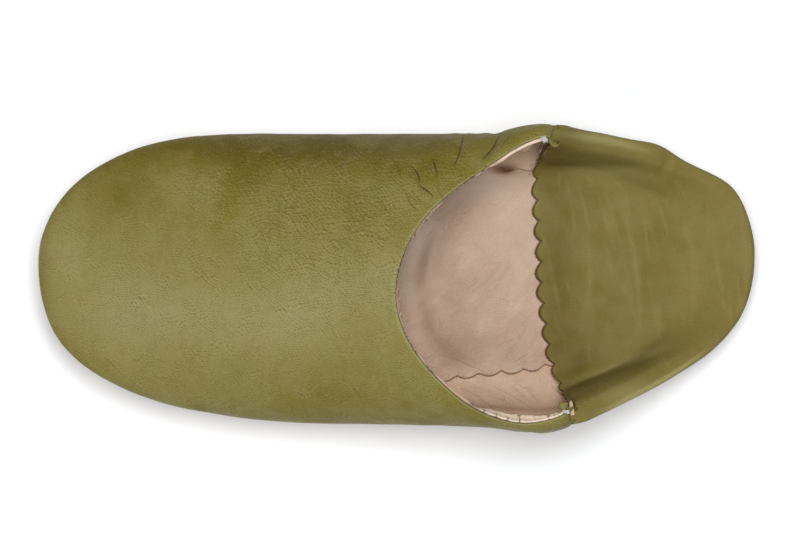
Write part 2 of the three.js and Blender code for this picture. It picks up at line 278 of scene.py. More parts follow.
# %% Lines of the upper
LAID_POINTS = 193


def half_gap_rows(row):
    return SIDE_GAP / 2 * ROW_STEP / np.linalg.norm(widest(row + ROW_STEP) - widest(row))


def dome_height(plan, wide):
    """The vamp's height over a point of the plan: the crown there, falling to the widest line."""
    x = plan[..., 0]
    offset = plan[..., 1] - middle_y(x)
    share = np.where(offset < 0, -offset / half_width(x, -1), offset / half_width(x, 1))
    station = np.clip((0.5 - x / LENGTH) * 10, 0, len(CROWN) - 1)
    power = crown["roundness"](station)
    across = (1 - np.clip(share, 0, 1) ** power) ** (1 / power)
    nose = np.sqrt(1 - (1 - np.clip((LENGTH / 2 - x) / NOSE_DEPTH, 0, 1)) ** 2)
    return wide + (crown["height"](station) - wide) * across * nose


def tucked_wall(rows, steps=24):
    """From the sole seam up to the widest line: it leans out and ends upright."""
    rise = np.linspace(0, 1, steps + 1)[None, :, None]
    plan = mix(widest(rows)[:, None], seam_plan(rows)[:, None], (1 - rise) ** 2)
    z = mix((seam_height(rows) + SEAM_GAP / 2)[:, None], ring["wide"](rows)[:, None], rise[..., 0])
    return raised(plan, z)


def placed(lines, spent, ends, steps):
    """steps + 1 points on each line, even in what is spent along it and up to its end."""
    share = np.linspace(0, 1, steps + 1)
    return np.array([
        [np.interp(share * end, s, axis) for axis in line.T] for line, s, end in zip(lines, spent, ends)
    ]).transpose(0, 2, 1)


def respaced(lines, steps, bend_length=8.0):
    """The same lines with steps + 1 points each, spread by length and closer where they bend."""
    run = np.diff(lines, axis=1)
    length = np.linalg.norm(run, axis=-1)
    heading = run / np.maximum(length, 1e-9)[..., None]
    turn = np.arccos(np.clip((heading[:, 1:] * heading[:, :-1]).sum(-1), -1, 1))
    turn[(length[:, 1:] < 1e-7) | (length[:, :-1] < 1e-7)] = 0
    spent = np.cumsum(length + np.pad(turn, ((0, 0), (0, 1))) * bend_length, axis=1)
    spent = np.pad(spent, ((0, 0), (1, 0)))
    return placed(lines, spent, spent[:, -1], steps)


def vamp_lines(rows, wall_steps, dome_steps):
    share = (rows - INNER_SEAM_ROW) / (OUTER_SEAM_ROW - INNER_SEAM_ROW)
    place = (share + RIB_CROWDING * np.sin(2 * np.pi * share) / (2 * np.pi)) * (len(THROAT) - 1)
    edge = plan_of(throat["along"](place), throat["across"](place))
    reach = np.linspace(0, 1, LAID_POINTS)[None, :, None] ** 2
    plan = mix(widest(rows)[:, None], edge[:, None], reach)
    dome = raised(plan, dome_height(plan, ring["wide"](rows)[:, None]))
    wall = respaced(tucked_wall(rows), wall_steps)
    return np.concatenate([wall, respaced(dome, dome_steps)[:, 1:]], 1)


first_row = INNER_SEAM_ROW + half_gap_rows(INNER_SEAM_ROW)
last_row = OUTER_SEAM_ROW - half_gap_rows(OUTER_SEAM_ROW)
VAMP_COLUMNS, VAMP_WALL_STEPS, VAMP_DOME_STEPS = 420, 16, 88
vamp_rows = np.linspace(first_row, last_row, VAMP_COLUMNS)
vamp = vamp_lines(vamp_rows, VAMP_WALL_STEPS, VAMP_DOME_STEPS)
print("vamp", vamp.shape, "highest", round(vamp[..., 2].max(), 1), "mm")


# %% Lines of the folded quarter
def flap_height(inside, crest, fold, root):
    """Round the fold, steeply down, and round again to lie flat on the insole."""
    fall = crest - FLAP_TOP
    slope = np.arccos(np.clip(1 - fall / (fold + root), np.cos(FLAP_STEEPEST), 1))
    fold_run = fold * np.sin(slope)
    straight_fall = np.maximum(0, fall - (fold + root) * (1 - np.cos(slope)))
    straight_run = straight_fall / np.tan(slope)
    past = inside - fold_run
    on_fold = crest - fold + np.sqrt(np.maximum(0, fold**2 - inside**2))
    on_slope = crest - fold * (1 - np.cos(slope)) - past * np.tan(slope)
    left = np.maximum(0, root * np.sin(slope) - (past - straight_run))
    on_root = FLAP_TOP + root - np.sqrt(root**2 - left**2)
    return np.where(past < 0, on_fold, np.where(past < straight_run, on_slope, on_root))


def quarter_lines(rows):
    """The outside wall, the turn over the crest, and the flap, as three sets of lines."""
    share = (rows - OUTER_SEAM_ROW) / (INNER_SEAM_ROW + RING_ROWS - OUTER_SEAM_ROW)
    place = share * (len(QUARTER) - 1)
    crest = quarter["crest"](place)[:, None] / 100 * COLLAR_HEIGHT
    fold = quarter["fold"](place)[:, None]
    shoulder = np.maximum(crest - fold, ring["wide"](rows)[:, None])
    start = widest(rows)[:, None]
    inwards = inward(rows)[:, None]
    wall = np.concatenate([tucked_wall(rows), raised(start, shoulder)], 1)
    angle = np.linspace(0, np.pi / 2, 25)[None]
    plan = start + inwards * (fold * (1 - np.cos(angle)))[..., None]
    turn = raised(plan, mix(shoulder, crest, np.sin(angle)))
    top = start + inwards * fold[..., None]
    edge = plan_of(quarter["along"](place), quarter["across"](place))[:, None]
    plan = mix(top, edge, np.linspace(0, 1, LAID_POINTS)[None, :, None] ** 1.5)
    inside = ((plan - top) * inwards).sum(-1)
    flap = raised(plan, flap_height(inside, crest, fold, quarter["root"](place)[:, None]))
    return wall, turn, flap


quarter_first = OUTER_SEAM_ROW + half_gap_rows(OUTER_SEAM_ROW)
quarter_last = RING_ROWS + INNER_SEAM_ROW - half_gap_rows(INNER_SEAM_ROW)
QUARTER_COUNT = 320
quarter_rows = np.linspace(quarter_first, quarter_last, QUARTER_COUNT)
quarter_wall, quarter_turn, quarter_flap = quarter_lines(quarter_rows)
crest_heights = quarter_turn[:, -1, 2]
print("crest from", round(crest_heights.max(), 1), "down to", round(crest_heights.min(), 1), "mm")


# %% Normals, noise and moving a grid square to itself
def normals(points, closed=False):
    if closed:
        wrapped = np.concatenate([points[-2:-1], points, points[1:2]])
        along = wrapped[2:] - wrapped[:-2]
    else:
        along = np.gradient(points, axis=0)
    return unit(np.cross(along, np.gradient(points, axis=1)))


def soft_noise(points, size, seed):
    """Smooth noise from -1 to 1 whose bumps are about size millimetres across; the same at every run."""
    shift = Vector((seed * 7.13, seed * 3.71, seed * 1.97))
    flat = points.reshape(-1, 3) / size
    return np.array([noise.noise(Vector(p) + shift) for p in flat]).reshape(points.shape[:-1])


def bezier(start, bend, end, steps=24):
    t = np.linspace(0, 1, steps)[:, None]
    start, bend, end = (np.array(point, float) for point in (start, bend, end))
    return (1 - t) ** 2 * start + 2 * t * (1 - t) * bend + t**2 * end


def near_path(places, path):
    """Signed distance of each place to a path, and the share along the path where it is nearest."""
    flat = places.reshape(-1, 2)
    best = np.full(len(flat), 1e9)
    share = np.zeros(len(flat))
    for i, (a, b) in enumerate(zip(path[:-1], path[1:])):
        run = b - a
        offset = flat - a
        t = np.clip((offset @ run) / max(run @ run, 1e-9), 0, 1)
        distance = np.linalg.norm(offset - t[:, None] * run, axis=1)
        closer = distance < np.abs(best)
        left = np.where(run[0] * offset[:, 1] - run[1] * offset[:, 0] < 0, -1, 1)
        best = np.where(closer, left * distance, best)
        share = np.where(closer, (i + t) / (len(path) - 1), share)
    return best.reshape(places.shape[:-1]), share.reshape(places.shape[:-1])


NARROW = 2.0
LINE_REACH = 2.4
FAR = 9
RIDGE_PLACE, RIDGE_SHARE = 1.9, 0.35
SHADE_SHARE = 0.7


def creased(places, strokes):
    """How deep the strokes press at each place, in mm, and the marks that paint shade into them.

    A narrow crease gets a dark line of painted shade finer than the grid, so its signed distance is kept as a
    mark and the line is drawn by the leather's shader; a wide one gets a soft painted shade of its own."""
    depth = np.zeros(places.shape[:-1])
    marks = {"crease": depth.copy(), "line": depth.copy(), "line_side": depth + FAR}
    for start, bend, end, width, deep, dark in strokes:
        side, share = near_path(places, bezier(start, bend, end))
        distance = np.abs(side)
        taper = np.sin(np.pi * np.clip(share, 0.03, 0.97)) ** 0.7
        ridges = bell(distance, RIDGE_PLACE * width, width)
        depth += deep * taper * (bell(distance, 0, width) - RIDGE_SHARE * ridges)
        if width > NARROW:
            shade = dark * taper * bell(distance, 0, SHADE_SHARE * width)
            marks["crease"] = np.maximum(marks["crease"], shade)
        else:
            closer = distance < np.abs(marks["line_side"])
            line = dark * np.sin(np.pi * share) ** 0.4 * smoothstep(distance, LINE_REACH, 1.0)
            marks["line"] = np.where(closer, line, marks["line"])
            marks["line_side"] = np.where(closer, side, marks["line_side"])
    return depth, marks


# %% [markdown]
# ## A sheet of leather
# bmesh lays out a flat grid with its UV map, each vertex is moved to its place on the last, and a Solidify
# modifier gives the leather its thickness. The cut edge is the modifier's rim and gets its own material,
# as the pale or pinked edge of real leather does. A sculpted block would have no edge and no inside.


# %% The sheet maker
# Marks that each sheet carries for its finish. The first paints shade into folds, creases and pleats, and
# darkens the quarter lining's end; the second draws thin dark lines: painted shade in narrow creases, a
# painted shadow by the heel's pinked edge, and the lining's snips; the fourth darkens and lightens the hide,
# as darker dye, painted shade and painted highlights.
MARKS = ("crease", "line", "line_side", "dye_and_painted_light", "edge", "worn")


def sheet(name, points, wall, materials, marks=(), weld=False, quality=True):
    columns_count, rows_count = points.shape[:2]
    bm = bmesh.new()
    bm.loops.layers.uv.new("UVMap")
    bmesh.ops.create_grid(
        bm, x_segments=columns_count - 1, y_segments=rows_count - 1, size=0.5, calc_uvs=True
    )
    given = {mark: np.zeros(points.shape[:2]) for mark in MARKS} | dict(marks)
    layers = [(bm.verts.layers.float.new(mark), values) for mark, values in given.items()]
    for vertex in bm.verts:
        i = round((vertex.co.x + 0.5) * (columns_count - 1))
        j = round((vertex.co.y + 0.5) * (rows_count - 1))
        vertex.co = Vector(points[i, j]) * MM
        for layer, values in layers:
            vertex[layer] = values[i, j]
    if weld:
        bmesh.ops.remove_doubles(bm, verts=bm.verts, dist=1e-6)
    for face in bm.faces:
        face.smooth = True
    piece = piece_from(bm, name, materials)
    if wall:
        thickness = piece.modifiers.new("leather thickness", "SOLIDIFY")
        thickness.thickness = wall * MM
        thickness.offset = -1
        thickness.use_quality_normals = quality
        thickness.material_offset_rim = min(1, len(materials) - 1)
    return piece


def linked(name, data):
    made = bpy.data.objects.new(name, data)
    bpy.context.scene.collection.objects.link(made)
    return made


def object_from(bm, name, materials):
    mesh = bpy.data.meshes.new(name)
    bm.to_mesh(mesh)
    bm.free()
    for material in materials:
        mesh.materials.append(material)
    print(name, len(mesh.polygons), "faces")
    return linked(name, mesh)


def piece_from(bm, name, materials):
    piece = object_from(bm, name, materials)
    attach(piece, "root")
    return piece


# %% [markdown]
# ## Finishes
# The hide is vegetable tanned goat: a fine pebble of about a millimetre with short ripples in it, hand-dyed
# olive with cloudy patches, and a soft sheen from wax. The creams are the same hide undyed. A photograph of
# leather could be projected, but it would carry its own light, so each finish is made from noise at three
# sizes: clouds of some centimetres, patches of some millimetres and the grain. The ripples are two sets of
# waves that cross, because a single set looks like wood.
# Some colour in these finishes is painted light: pale patches and lines stand for the lamps' sheen and light,
# and dark ones for shade in folds, creases, pleats and under the throat.


# %% Helpers for shader nodes
DRIFT_SIZE, WAVE_DRIFT = 12.0, 4.0
WAVE_TURN = 2 * math.pi / 20
WAVE_CROSSING = 0.45


def shader(name):
    material = bpy.data.materials.new(name)
    material.use_nodes = True
    tree = material.node_tree
    return material, tree, tree.nodes["Principled BSDF"]


def put(tree, kind, settings=None, inputs=None):
    made = tree.nodes.new("ShaderNode" + kind)
    for key, value in (settings or {}).items():
        setattr(made, key, value)
    for key, value in (inputs or {}).items():
        socket = made.inputs[key]
        if isinstance(value, bpy.types.NodeSocket):
            tree.links.new(value, socket)
        else:
            socket.default_value = value
    return made


def math_node(tree, operation, *values, clamp=False):
    return put(tree, "Math", {"operation": operation, "use_clamp": clamp}, dict(enumerate(values))).outputs[0]


def vector_node(tree, operation, inputs):
    return put(tree, "VectorMath", {"operation": operation}, inputs).outputs[0]


def blend_colours(tree, share, a, b):
    return put(tree, "Mix", {"data_type": "RGBA"}, {0: share, 6: a, 7: b}).outputs[2]


def ramp(tree, value, low, high, bottom=0.0, top=1.0):
    return put(tree, "MapRange", {"interpolation_type": "SMOOTHSTEP"}, {
        "Value": value, "From Min": low, "From Max": high, "To Min": bottom, "To Max": top,
    }).outputs[0]


def object_place(tree, stretch=(1, 1, 1), turn=(0, 0, 0), drift=0.0):
    """Object coordinates, turned and stretched; drift bends them by about so many millimetres."""
    place = put(tree, "TexCoord").outputs["Object"]
    if drift:
        slow = put(tree, "TexNoise", None, {"Vector": place, "Scale": 1 / (DRIFT_SIZE * MM), "Detail": 1.0})
        aside = vector_node(tree, "SUBTRACT", {0: slow.outputs["Color"], 1: (0.5, 0.5, 0.5)})
        aside = vector_node(tree, "SCALE", {0: aside, "Scale": 2 * drift * MM})
        place = vector_node(tree, "ADD", {0: place, 1: aside})
    longer = tuple(1 / share for share in stretch)
    settings = {"vector_type": "TEXTURE"}
    return put(tree, "Mapping", settings, {"Vector": place, "Rotation": turn, "Scale": longer}).outputs[0]


def clouds(tree, size, detail=2.0, stretch=(1, 1, 1), turn=(0, 0, 0), warp=0.0):
    """Noise whose bumps are about size millimetres across."""
    return put(tree, "TexNoise", None, {
        "Vector": object_place(tree, stretch, turn), "Scale": 1 / (size * MM), "Detail": detail,
        "Roughness": 0.55, "Distortion": warp,
    }).outputs["Fac"]


def ripples(tree, pitch, turn):
    """Short ridges about pitch millimetres apart, where two crossing sets of waves meet."""
    sets = [
        put(tree, "TexWave", {"bands_direction": "Y"}, {
            "Vector": object_place(tree, turn=(0, 0, turn[2] + cross), drift=WAVE_DRIFT),
            "Scale": WAVE_TURN / (pitch * MM), "Distortion": 3.0, "Detail": 2.0, "Detail Scale": 1.9,
            "Detail Roughness": 0.7,
        }).outputs["Fac"]
        for cross in (-WAVE_CROSSING, WAVE_CROSSING)
    ]
    return math_node(tree, "MULTIPLY", math_node(tree, "ADD", *sets), 0.5)


def mark_value(tree, name):
    return put(tree, "Attribute", {"attribute_name": name}).outputs["Fac"]


def cover(tree, surface, colour, height):
    """The surface's colour, and its bump from a height in millimetres."""
    tree.links.new(colour, surface.inputs["Base Color"])
    bump = put(tree, "Bump", None, {"Height": height, "Distance": MM, "Strength": 1.0})
    tree.links.new(bump.outputs[0], surface.inputs["Normal"])


PEBBLE_SHARE, RIPPLE_SHARE = 0.45, 0.55
LINE_DEPTH, LINE_WOBBLE = 0.16, 1.1


def leather(name, tones, edge, grain, wrinkles, streaks, gloss, specular):
    """A leather from four tones of one hide: a pale tone for streaks, grain tops and painted highlights, then
    light, dark and deep; deep is also the painted shade in folds and creases.

    grain is its size and depth (mm) and how dark its valleys are; wrinkles are their size, depth and the
    darkness of the painted shade in their folds, their stretch and turn, and how much of them is everywhere;
    streaks are pale and have a size, stretch, turn and strength; gloss is the roughness."""
    rubbed_and_highlight, light, dark, deep = tones
    material, tree, surface = shader(name)

    def times(a, b):
        return math_node(tree, "MULTIPLY", a, b)

    def add(a, b):
        return math_node(tree, "ADD", a, b)

    def minus(a, b):
        return math_node(tree, "SUBTRACT", a, b)

    # The dye-and-light mark: where it is positive the hide goes darker, as darker dye and as painted shade;
    # where it is negative it goes paler, as painted highlights and painted sheen.
    dye_and_painted_light = mark_value(tree, "dye_and_painted_light")
    broad = ramp(tree, clouds(tree, 34, 2, warp=0.6), 0.3, 0.72)
    patch = ramp(tree, clouds(tree, 7, 3, warp=0.4), 0.3, 0.75)
    tone = add(add(times(broad, 0.5), times(patch, 0.22)), dye_and_painted_light)
    colour = blend_colours(tree, ramp(tree, tone, 0.0, 0.95), light, dark)
    colour = blend_colours(tree, ramp(tree, dye_and_painted_light, 0.0, 1.0, 0.0, 0.85), colour, deep)
    warm = tuple(channel * share for channel, share in zip(light, (1.03, 0.9, 0.9))) + (1,)
    warmed = ramp(tree, clouds(tree, 15, 3, warp=0.5), 0.45, 0.7, 0.0, 0.45)
    colour = blend_colours(tree, warmed, colour, warm)
    size, stretch, turn, strength = streaks
    streak = ramp(tree, clouds(tree, size, 4, stretch, turn, warp=0.4), 0.52, 0.72, 0.0, strength)
    # Pale streaks of the hide, and painted highlights where the dye-and-light mark is negative.
    pale = math_node(tree, "MAXIMUM", streak, ramp(tree, times(dye_and_painted_light, -1), 0.0, 1.0, 0.0, 0.9))
    colour = blend_colours(tree, pale, colour, rubbed_and_highlight)

    grain_size, grain_depth, grain_dark = grain
    size, depth, darkness, stretch, turn, everywhere = wrinkles
    worn = math_node(tree, "ADD", mark_value(tree, "worn"), everywhere, clamp=True)
    cells = put(tree, "TexVoronoi", {"feature": "SMOOTH_F1"}, {
        "Vector": object_place(tree), "Scale": 1 / (grain_size * MM), "Smoothness": 0.4,
    }).outputs["Distance"]
    pebble = ramp(tree, cells, 0.14, 0.5)
    ripple = ripples(tree, grain_size * 0.95, turn)
    coarse = ripples(tree, grain_size * 1.5, turn)
    uneven = times(ramp(tree, clouds(tree, 5, 2), 0.3, 0.7, 0.6, 1.0), add(times(worn, 0.4), 0.75))
    relief = minus(add(times(pebble, PEBBLE_SHARE), times(ripple, RIPPLE_SHARE)), 0.5)
    relief = add(relief, times(minus(coarse, 0.5), times(worn, 0.5)))
    relief = times(relief, uneven)
    tops = ramp(tree, relief, 0.0, -0.5, 0.0, 0.6 * grain_dark)
    valleys = ramp(tree, relief, 0.0, 0.5, 0.0, grain_dark)
    colour = blend_colours(tree, tops, colour, rubbed_and_highlight)
    height = times(relief, -grain_depth)
    folds = clouds(tree, size, 2, stretch, turn, warp=0.7)
    folds = math_node(tree, "ABSOLUTE", minus(folds, 0.5))
    sparse = ramp(tree, clouds(tree, size * 2.5, 1), 0.45, 0.6)
    fold_line = times(times(ramp(tree, folds, 0.0, 0.045, 1.0, 0.0), worn), sparse)
    height = minus(height, times(fold_line, depth))

    # Thin marked lines, drawn darker than the deep tone: painted shade in narrow creases, the painted shadow
    # by the heel's pinked edge, and the lining's snips.
    wobble = times(minus(clouds(tree, 2.2, 2), 0.5), LINE_WOBBLE)
    line_side = math_node(tree, "ABSOLUTE", add(mark_value(tree, "line_side"), wobble))
    line = times(ramp(tree, line_side, 0.05, 0.46, 0.9, 0.0), mark_value(tree, "line"))
    height = minus(height, times(line, LINE_DEPTH))
    # The grain's valleys darker, and painted shade in the wrinkles' folds and the marked creases, towards the
    # deep tone.
    shade = math_node(tree, "MAXIMUM", valleys, times(fold_line, darkness))
    shade = math_node(tree, "MAXIMUM", shade, times(mark_value(tree, "crease"), 0.85))
    colour = blend_colours(tree, mark_value(tree, "edge"), colour, edge)
    colour = blend_colours(tree, shade, colour, deep)
    colour = blend_colours(tree, line, colour, tuple(channel * 0.65 for channel in deep[:3]) + (1,))
    cover(tree, surface, colour, height)
    rough = ramp(tree, patch, 0.0, 1.0, gloss - 0.05, gloss + 0.05)
    tree.links.new(rough, surface.inputs["Roughness"])
    surface.inputs["Specular IOR Level"].default_value = specular
    return material


# %% The finishes
PALE_GREEN = (0.27, 0.265, 0.1, 1)
BURNT_BROWN = (0.09, 0.05, 0.02, 1)
CREAM = (0.68, 0.57, 0.44, 1)
LENGTHWISE = (0.5, 1.0, 1.0)
ACROSS = (1.0, 0.16, 1.0)
vamp_finish = leather(
    "olive vamp leather",
    ((0.31, 0.28, 0.137, 1), (0.205, 0.181, 0.056, 1), (0.159, 0.128, 0.015, 1), (0.077, 0.055, 0.004, 1)),
    PALE_GREEN, grain=(1.0, 0.22, 0.55), wrinkles=(4.5, 0.2, 0.25, LENGTHWISE, (0, 0, -0.35), 0.12),
    streaks=(5, LENGTHWISE, (0, 0, -0.2), 0.12), gloss=0.54, specular=0.08,
)
quarter_finish = leather(
    "olive quarter leather",
    ((0.31, 0.275, 0.11, 1), (0.184, 0.152, 0.042, 1), (0.147, 0.115, 0.022, 1), (0.08, 0.057, 0.002, 1)),
    BURNT_BROWN, grain=(0.9, 0.1, 0.22), wrinkles=(7.0, 0.1, 0.12, ACROSS, (0, 0, 0.3), 0.3),
    streaks=(4, ACROSS, (0, 0, 0.2), 0.16), gloss=0.58, specular=0.12,
)
lining_finish = leather(
    "cream lining leather",
    ((0.66, 0.49, 0.36, 1), (0.535, 0.385, 0.27, 1), (0.45, 0.305, 0.21, 1), (0.17, 0.075, 0.035, 1)),
    CREAM, grain=(0.9, 0.14, 0.14), wrinkles=(5.0, 0.25, 0.3, (0.6, 0.3, 0.3), (0, 0, 0.8), 0.6),
    streaks=(4, (0.6, 0.25, 0.3), (0, 0, 0.8), 0.3), gloss=0.6, specular=0.3,
)
sock_finish = leather(
    "cream sock leather",
    ((0.64, 0.505, 0.405, 1), (0.49, 0.36, 0.262, 1), (0.42, 0.3, 0.212, 1), (0.2, 0.095, 0.055, 1)),
    (0.22, 0.11, 0.06, 1), grain=(0.9, 0.14, 0.14),
    wrinkles=(6.0, 0.2, 0.22, (0.3, 1.0, 1.0), (0, 0, 0.7), 0.5),
    streaks=(5, (0.3, 1.0, 1.0), (0, 0, 0.9), 0.2), gloss=0.56, specular=0.3,
)
sole_finish = leather(
    "natural sole leather",
    ((0.84, 0.73, 0.61, 1), (0.77, 0.64, 0.5, 1), (0.69, 0.55, 0.41, 1), (0.42, 0.29, 0.19, 1)),
    CREAM, grain=(1.0, 0.14, 0.16), wrinkles=(4.0, 0.18, 0.22, (0.2, 1.0, 1.0), (0, 0, 0), 0.8),
    streaks=(6, (0.2, 1.0, 1.0), (0, 0, 0), 0.3), gloss=0.62, specular=0.3,
)


def plain_finish(name, light, dark, gloss, size=0.5, depth=0.05, elsewhere=None):
    """A plain mottled finish; with elsewhere given, only places marked as edge have the mottled tones."""
    material, tree, surface = shader(name)
    speck = ramp(tree, clouds(tree, size, 3), 0.3, 0.7)
    colour = blend_colours(tree, speck, light, dark)
    if elsewhere:
        colour = blend_colours(tree, mark_value(tree, "edge"), elsewhere, colour)
    cover(tree, surface, colour, math_node(tree, "MULTIPLY", clouds(tree, size, 2), depth))
    surface.inputs["Roughness"].default_value = gloss
    return material


cut_edge = plain_finish("olive cut edge", (0.2, 0.165, 0.06, 1), (0.13, 0.1, 0.035, 1), 0.75)
pinked_edge = plain_finish("burnt pinked edge", (0.085, 0.045, 0.018, 1), (0.05, 0.025, 0.01, 1), 0.7,
                           elsewhere=(0.16, 0.128, 0.03, 1))
cream_edge = plain_finish("cream cut edge", (0.66, 0.52, 0.39, 1), (0.52, 0.38, 0.27, 1), 0.8)
sock_edge = plain_finish("brown sock edge", (0.26, 0.14, 0.085, 1), (0.16, 0.08, 0.045, 1), 0.8)
thread = plain_finish("natural thread", (0.74, 0.68, 0.56, 1), (0.5, 0.43, 0.33, 1), 0.8, 0.25, 0.06)
white_thread = plain_finish("white thread", (0.64, 0.66, 0.66, 1), (0.34, 0.36, 0.36, 1), 0.7, 0.3, 0.1)
stitch_hole = plain_finish("dark stitch hole", (0.05, 0.033, 0.02, 1), (0.025, 0.016, 0.01, 1), 0.9)
print("finishes", len(bpy.data.materials))

# %% [markdown]
# ## The vamp
# One olive leather covers toes and instep and runs back to both side seams. Where the foot bends and where
# a hand has folded it, it has creases: each is placed as a short path on the plan with a width and
# a depth, and pressed into the grid with a soft ridge on each side, so that they show from every angle.

# %% Creases of the vamp
# Start, bend and end on the plan (mm), half width, depth (mm), and darkness of the painted shade in the
# crease.
VAMP_CREASES = (
    ((-25.2, -55.5), (-24, -49), (-21.3, -42.5), 1.4, 0.75, 1.0),
    ((-38.6, -56.5), (-35.5, -51.5), (-31.8, -45.4), 1.9, 1.5, 1.0),
    ((-43, -56), (-40, -52.5), (-38, -48.5), 1.6, 0.35, 0.35),
    ((-12.9, -46), (-14.6, -42.5), (-15, -38.6), 1.3, 0.6, 1.0),
    ((-5.2, -43), (-8.4, -40.5), (-8.5, -36), 1.3, 0.5, 1.0),
    ((-7.6, -35.4), (-10.8, -34.4), (-13.6, -31), 1.2, 0.5, 1.0),
    ((-3, -33), (-4.2, -29), (-7, -26), 1.2, 0.25, 0.5),
    ((3, -47), (0, -44), (-1.5, -39), 1.4, 0.3, 0.45),
    ((-14, -36), (-16.5, -33), (-17.5, -29.5), 1.2, 0.22, 0.4),
    ((66, -50), (58, -40), (47, -30), 6.5, 0.6, 0.12),
    ((47, -30), (30, -25), (8, -33), 5.5, 0.45, 0.0),
    ((40, -36), (20, -31), (-2, -41), 3.0, 0.35, 0.1),
    ((96, -22), (90, -12), (91, 6), 6.0, 0.35, 0.0),
    ((-16, 42), (-24, 50), (-37, 55), 2.6, 0.4, 0.3),
    ((-12, 47), (-22, 53.5), (-34, 57), 2.2, 0.3, 0.25),
    ((12, 30), (2, 36), (-8, 43), 3.2, 0.22, 0.1),
    ((70, 30), (52, 38), (30, 44), 5.0, 0.3, 0.0),
)
# On the sides: start, bend and end as distance along and height (mm).
SIDE_CREASES = (
    ((-42, 46), (-34, 41.5), (-26, 37.5), 2.2, 0.5, 0.45),
    ((-36, 43), (-28, 38), (-14, 33), 2.6, 0.35, 0.25),
    ((-48, 41), (-40, 36), (-34, 30), 3.0, 0.3, 0.1),
    ((-20, 44), (-10, 39), (4, 36), 3.4, 0.3, 0.1),
    ((-54, 58), (-50, 52), (-49, 44), 3.0, 0.25, 0.0),
)


# %% Pressing the creases and laying the vamp
def soft_patches(points, spots):
    """A sum of soft patches; each is x, y, reach x, reach y, depth."""
    total = np.zeros(points.shape[:-1])
    for x, y, reach_x, reach_y, deep in spots:
        off_x, off_y = (points[..., 0] - x) / reach_x, (points[..., 1] - y) / reach_y
        total += deep * np.exp(-(off_x**2) - off_y**2)
    return total


# Positive patches are darker dye along the inner side and at the inner toe, partly painted shade on that
# side, with a faint dark strip low on the outer side; negative ones are painted sheen, a paler band down the
# middle from the toe to the throat. Each is x, y, reach x, reach y, depth.
VAMP_DYE_AND_PAINTED_LIGHT = (
    (60, -52, 55, 9, 0.6), (0, -54, 42, 9, 0.55), (14, -42, 55, 9, 0.15), (58, -38, 9, 10, 0.22),
    (104, -34, 20, 14, 0.42), (30, 53, 70, 6, 0.15), (34, -34, 14, 8, 0.12), (14, -20, 5, 12, 0.12),
    (108, 12, 24, 24, -0.4), (78, 12, 24, 18, -0.3), (48, 18, 24, 16, -0.35), (24, 4, 22, 18, -0.35),
    (3, -2, 10, 24, -0.25), (127, -12, 9, 16, -0.3), (84, -34, 14, 9, -0.15), (-2, -24, 8, 10, 0.1),
)
VAMP_WORN = ((22, -36, 36, 17, 1.0), (26, -8, 34, 18, 0.55), (-20, -44, 18, 12, 0.5), (60, -40, 20, 14, 0.6))
# The top of each side seam leans to the heel; the vamp ends there in a rounded lip.
INNER_LEAN, OUTER_LEAN = 2.8, 1.0
OTHER_SIDE = 99


def leaned(points):
    """Points near the tops of the side seams moved to the heel, as the worn seams lean."""
    x, y, z = np.moveaxis(points, -1, 0)
    shift = INNER_LEAN * bell(x, -58, 13) * smoothstep(z, 44, 62) * (y < 0)
    shift += OUTER_LEAN * bell(x, -67, 13) * smoothstep(z, 44, 62) * (y > 0)
    return points - np.stack([shift, 0 * shift, 0 * shift], -1)


def seam_dip(rows, from_top, top):
    """How far a leather turns in beside its side seams, more at the rounded top."""
    x, y = np.moveaxis(widest(rows), -1, 0)
    to_inner = np.abs(x - widest(INNER_SEAM_ROW)[0]) + OTHER_SIDE * (y > 0)
    to_outer = np.abs(x - widest(OUTER_SEAM_ROW)[0]) + OTHER_SIDE * (y < 0)
    distance = np.minimum(to_inner, to_outer)[:, None]
    return 0.9 * np.exp(-distance / 1.2) + top * np.exp(-distance / 1.9) * bell(from_top, 0, 7)


vamp_square = normals(vamp)
top_depth, top_marks = creased(vamp[..., :2], VAMP_CREASES)
side_depth, side_marks = creased(vamp[..., [0, 2]], SIDE_CREASES)
on_side = smoothstep(np.abs(vamp_square[..., 1]), 0.45, 0.8) * smoothstep(vamp[..., 0], 40, 0)
on_outer_side = on_side * (vamp[..., 1] > 0)
height_share = np.linspace(0, 1, vamp.shape[1])[None]
edge_fade = smoothstep(height_share, 0, 0.08) * smoothstep(height_share, 1.0, 0.96)
swell = 0.4 * soft_noise(vamp, 26, 1) + 0.14 * soft_noise(vamp, 9, 2)
press = top_depth * (1 - on_outer_side) + side_depth * on_outer_side
from_top = run_along(vamp[:, ::-1], 1)[:, ::-1]
vamp_x, vamp_y, vamp_z = np.moveaxis(vamp, -1, 0)
inner_side, outer_side = vamp_y < 0, vamp_y > 0
hollow = 1.3 * bell(vamp_x, -36, 7) * smoothstep(vamp_z, 20, 36) * inner_side
lip = 1.3 * bell(vamp_x, -52, 7.5) * bell(from_top, 3.5, 4) * inner_side
lip += 0.8 * bell(vamp_x, -50, 14) * bell(from_top, 3, 3) * outer_side
dip = seam_dip(vamp_rows, from_top, 1.8) * smoothstep(height_share, 0, 0.06)
vamp = leaned(vamp + vamp_square * ((swell - press) * edge_fade + lip - hollow - dip)[..., None])
drawn_lines = {
    mark: np.where(on_outer_side > 0.5, side_marks[mark], top_marks[mark]) for mark in ("line", "line_side")
}
vamp_marks = drawn_lines | {
    "crease": top_marks["crease"] * (1 - on_outer_side) + side_marks["crease"] * on_outer_side,
    # Darker again towards the sole seam, below 34 mm.
    "dye_and_painted_light": soft_patches(vamp, VAMP_DYE_AND_PAINTED_LIGHT) + 0.25 * smoothstep(vamp_z, 34, 26),
    "worn": np.clip(soft_patches(vamp, VAMP_WORN), 0, 0.8),
    "edge": smoothstep(from_top, 0.45, 0.2),
}
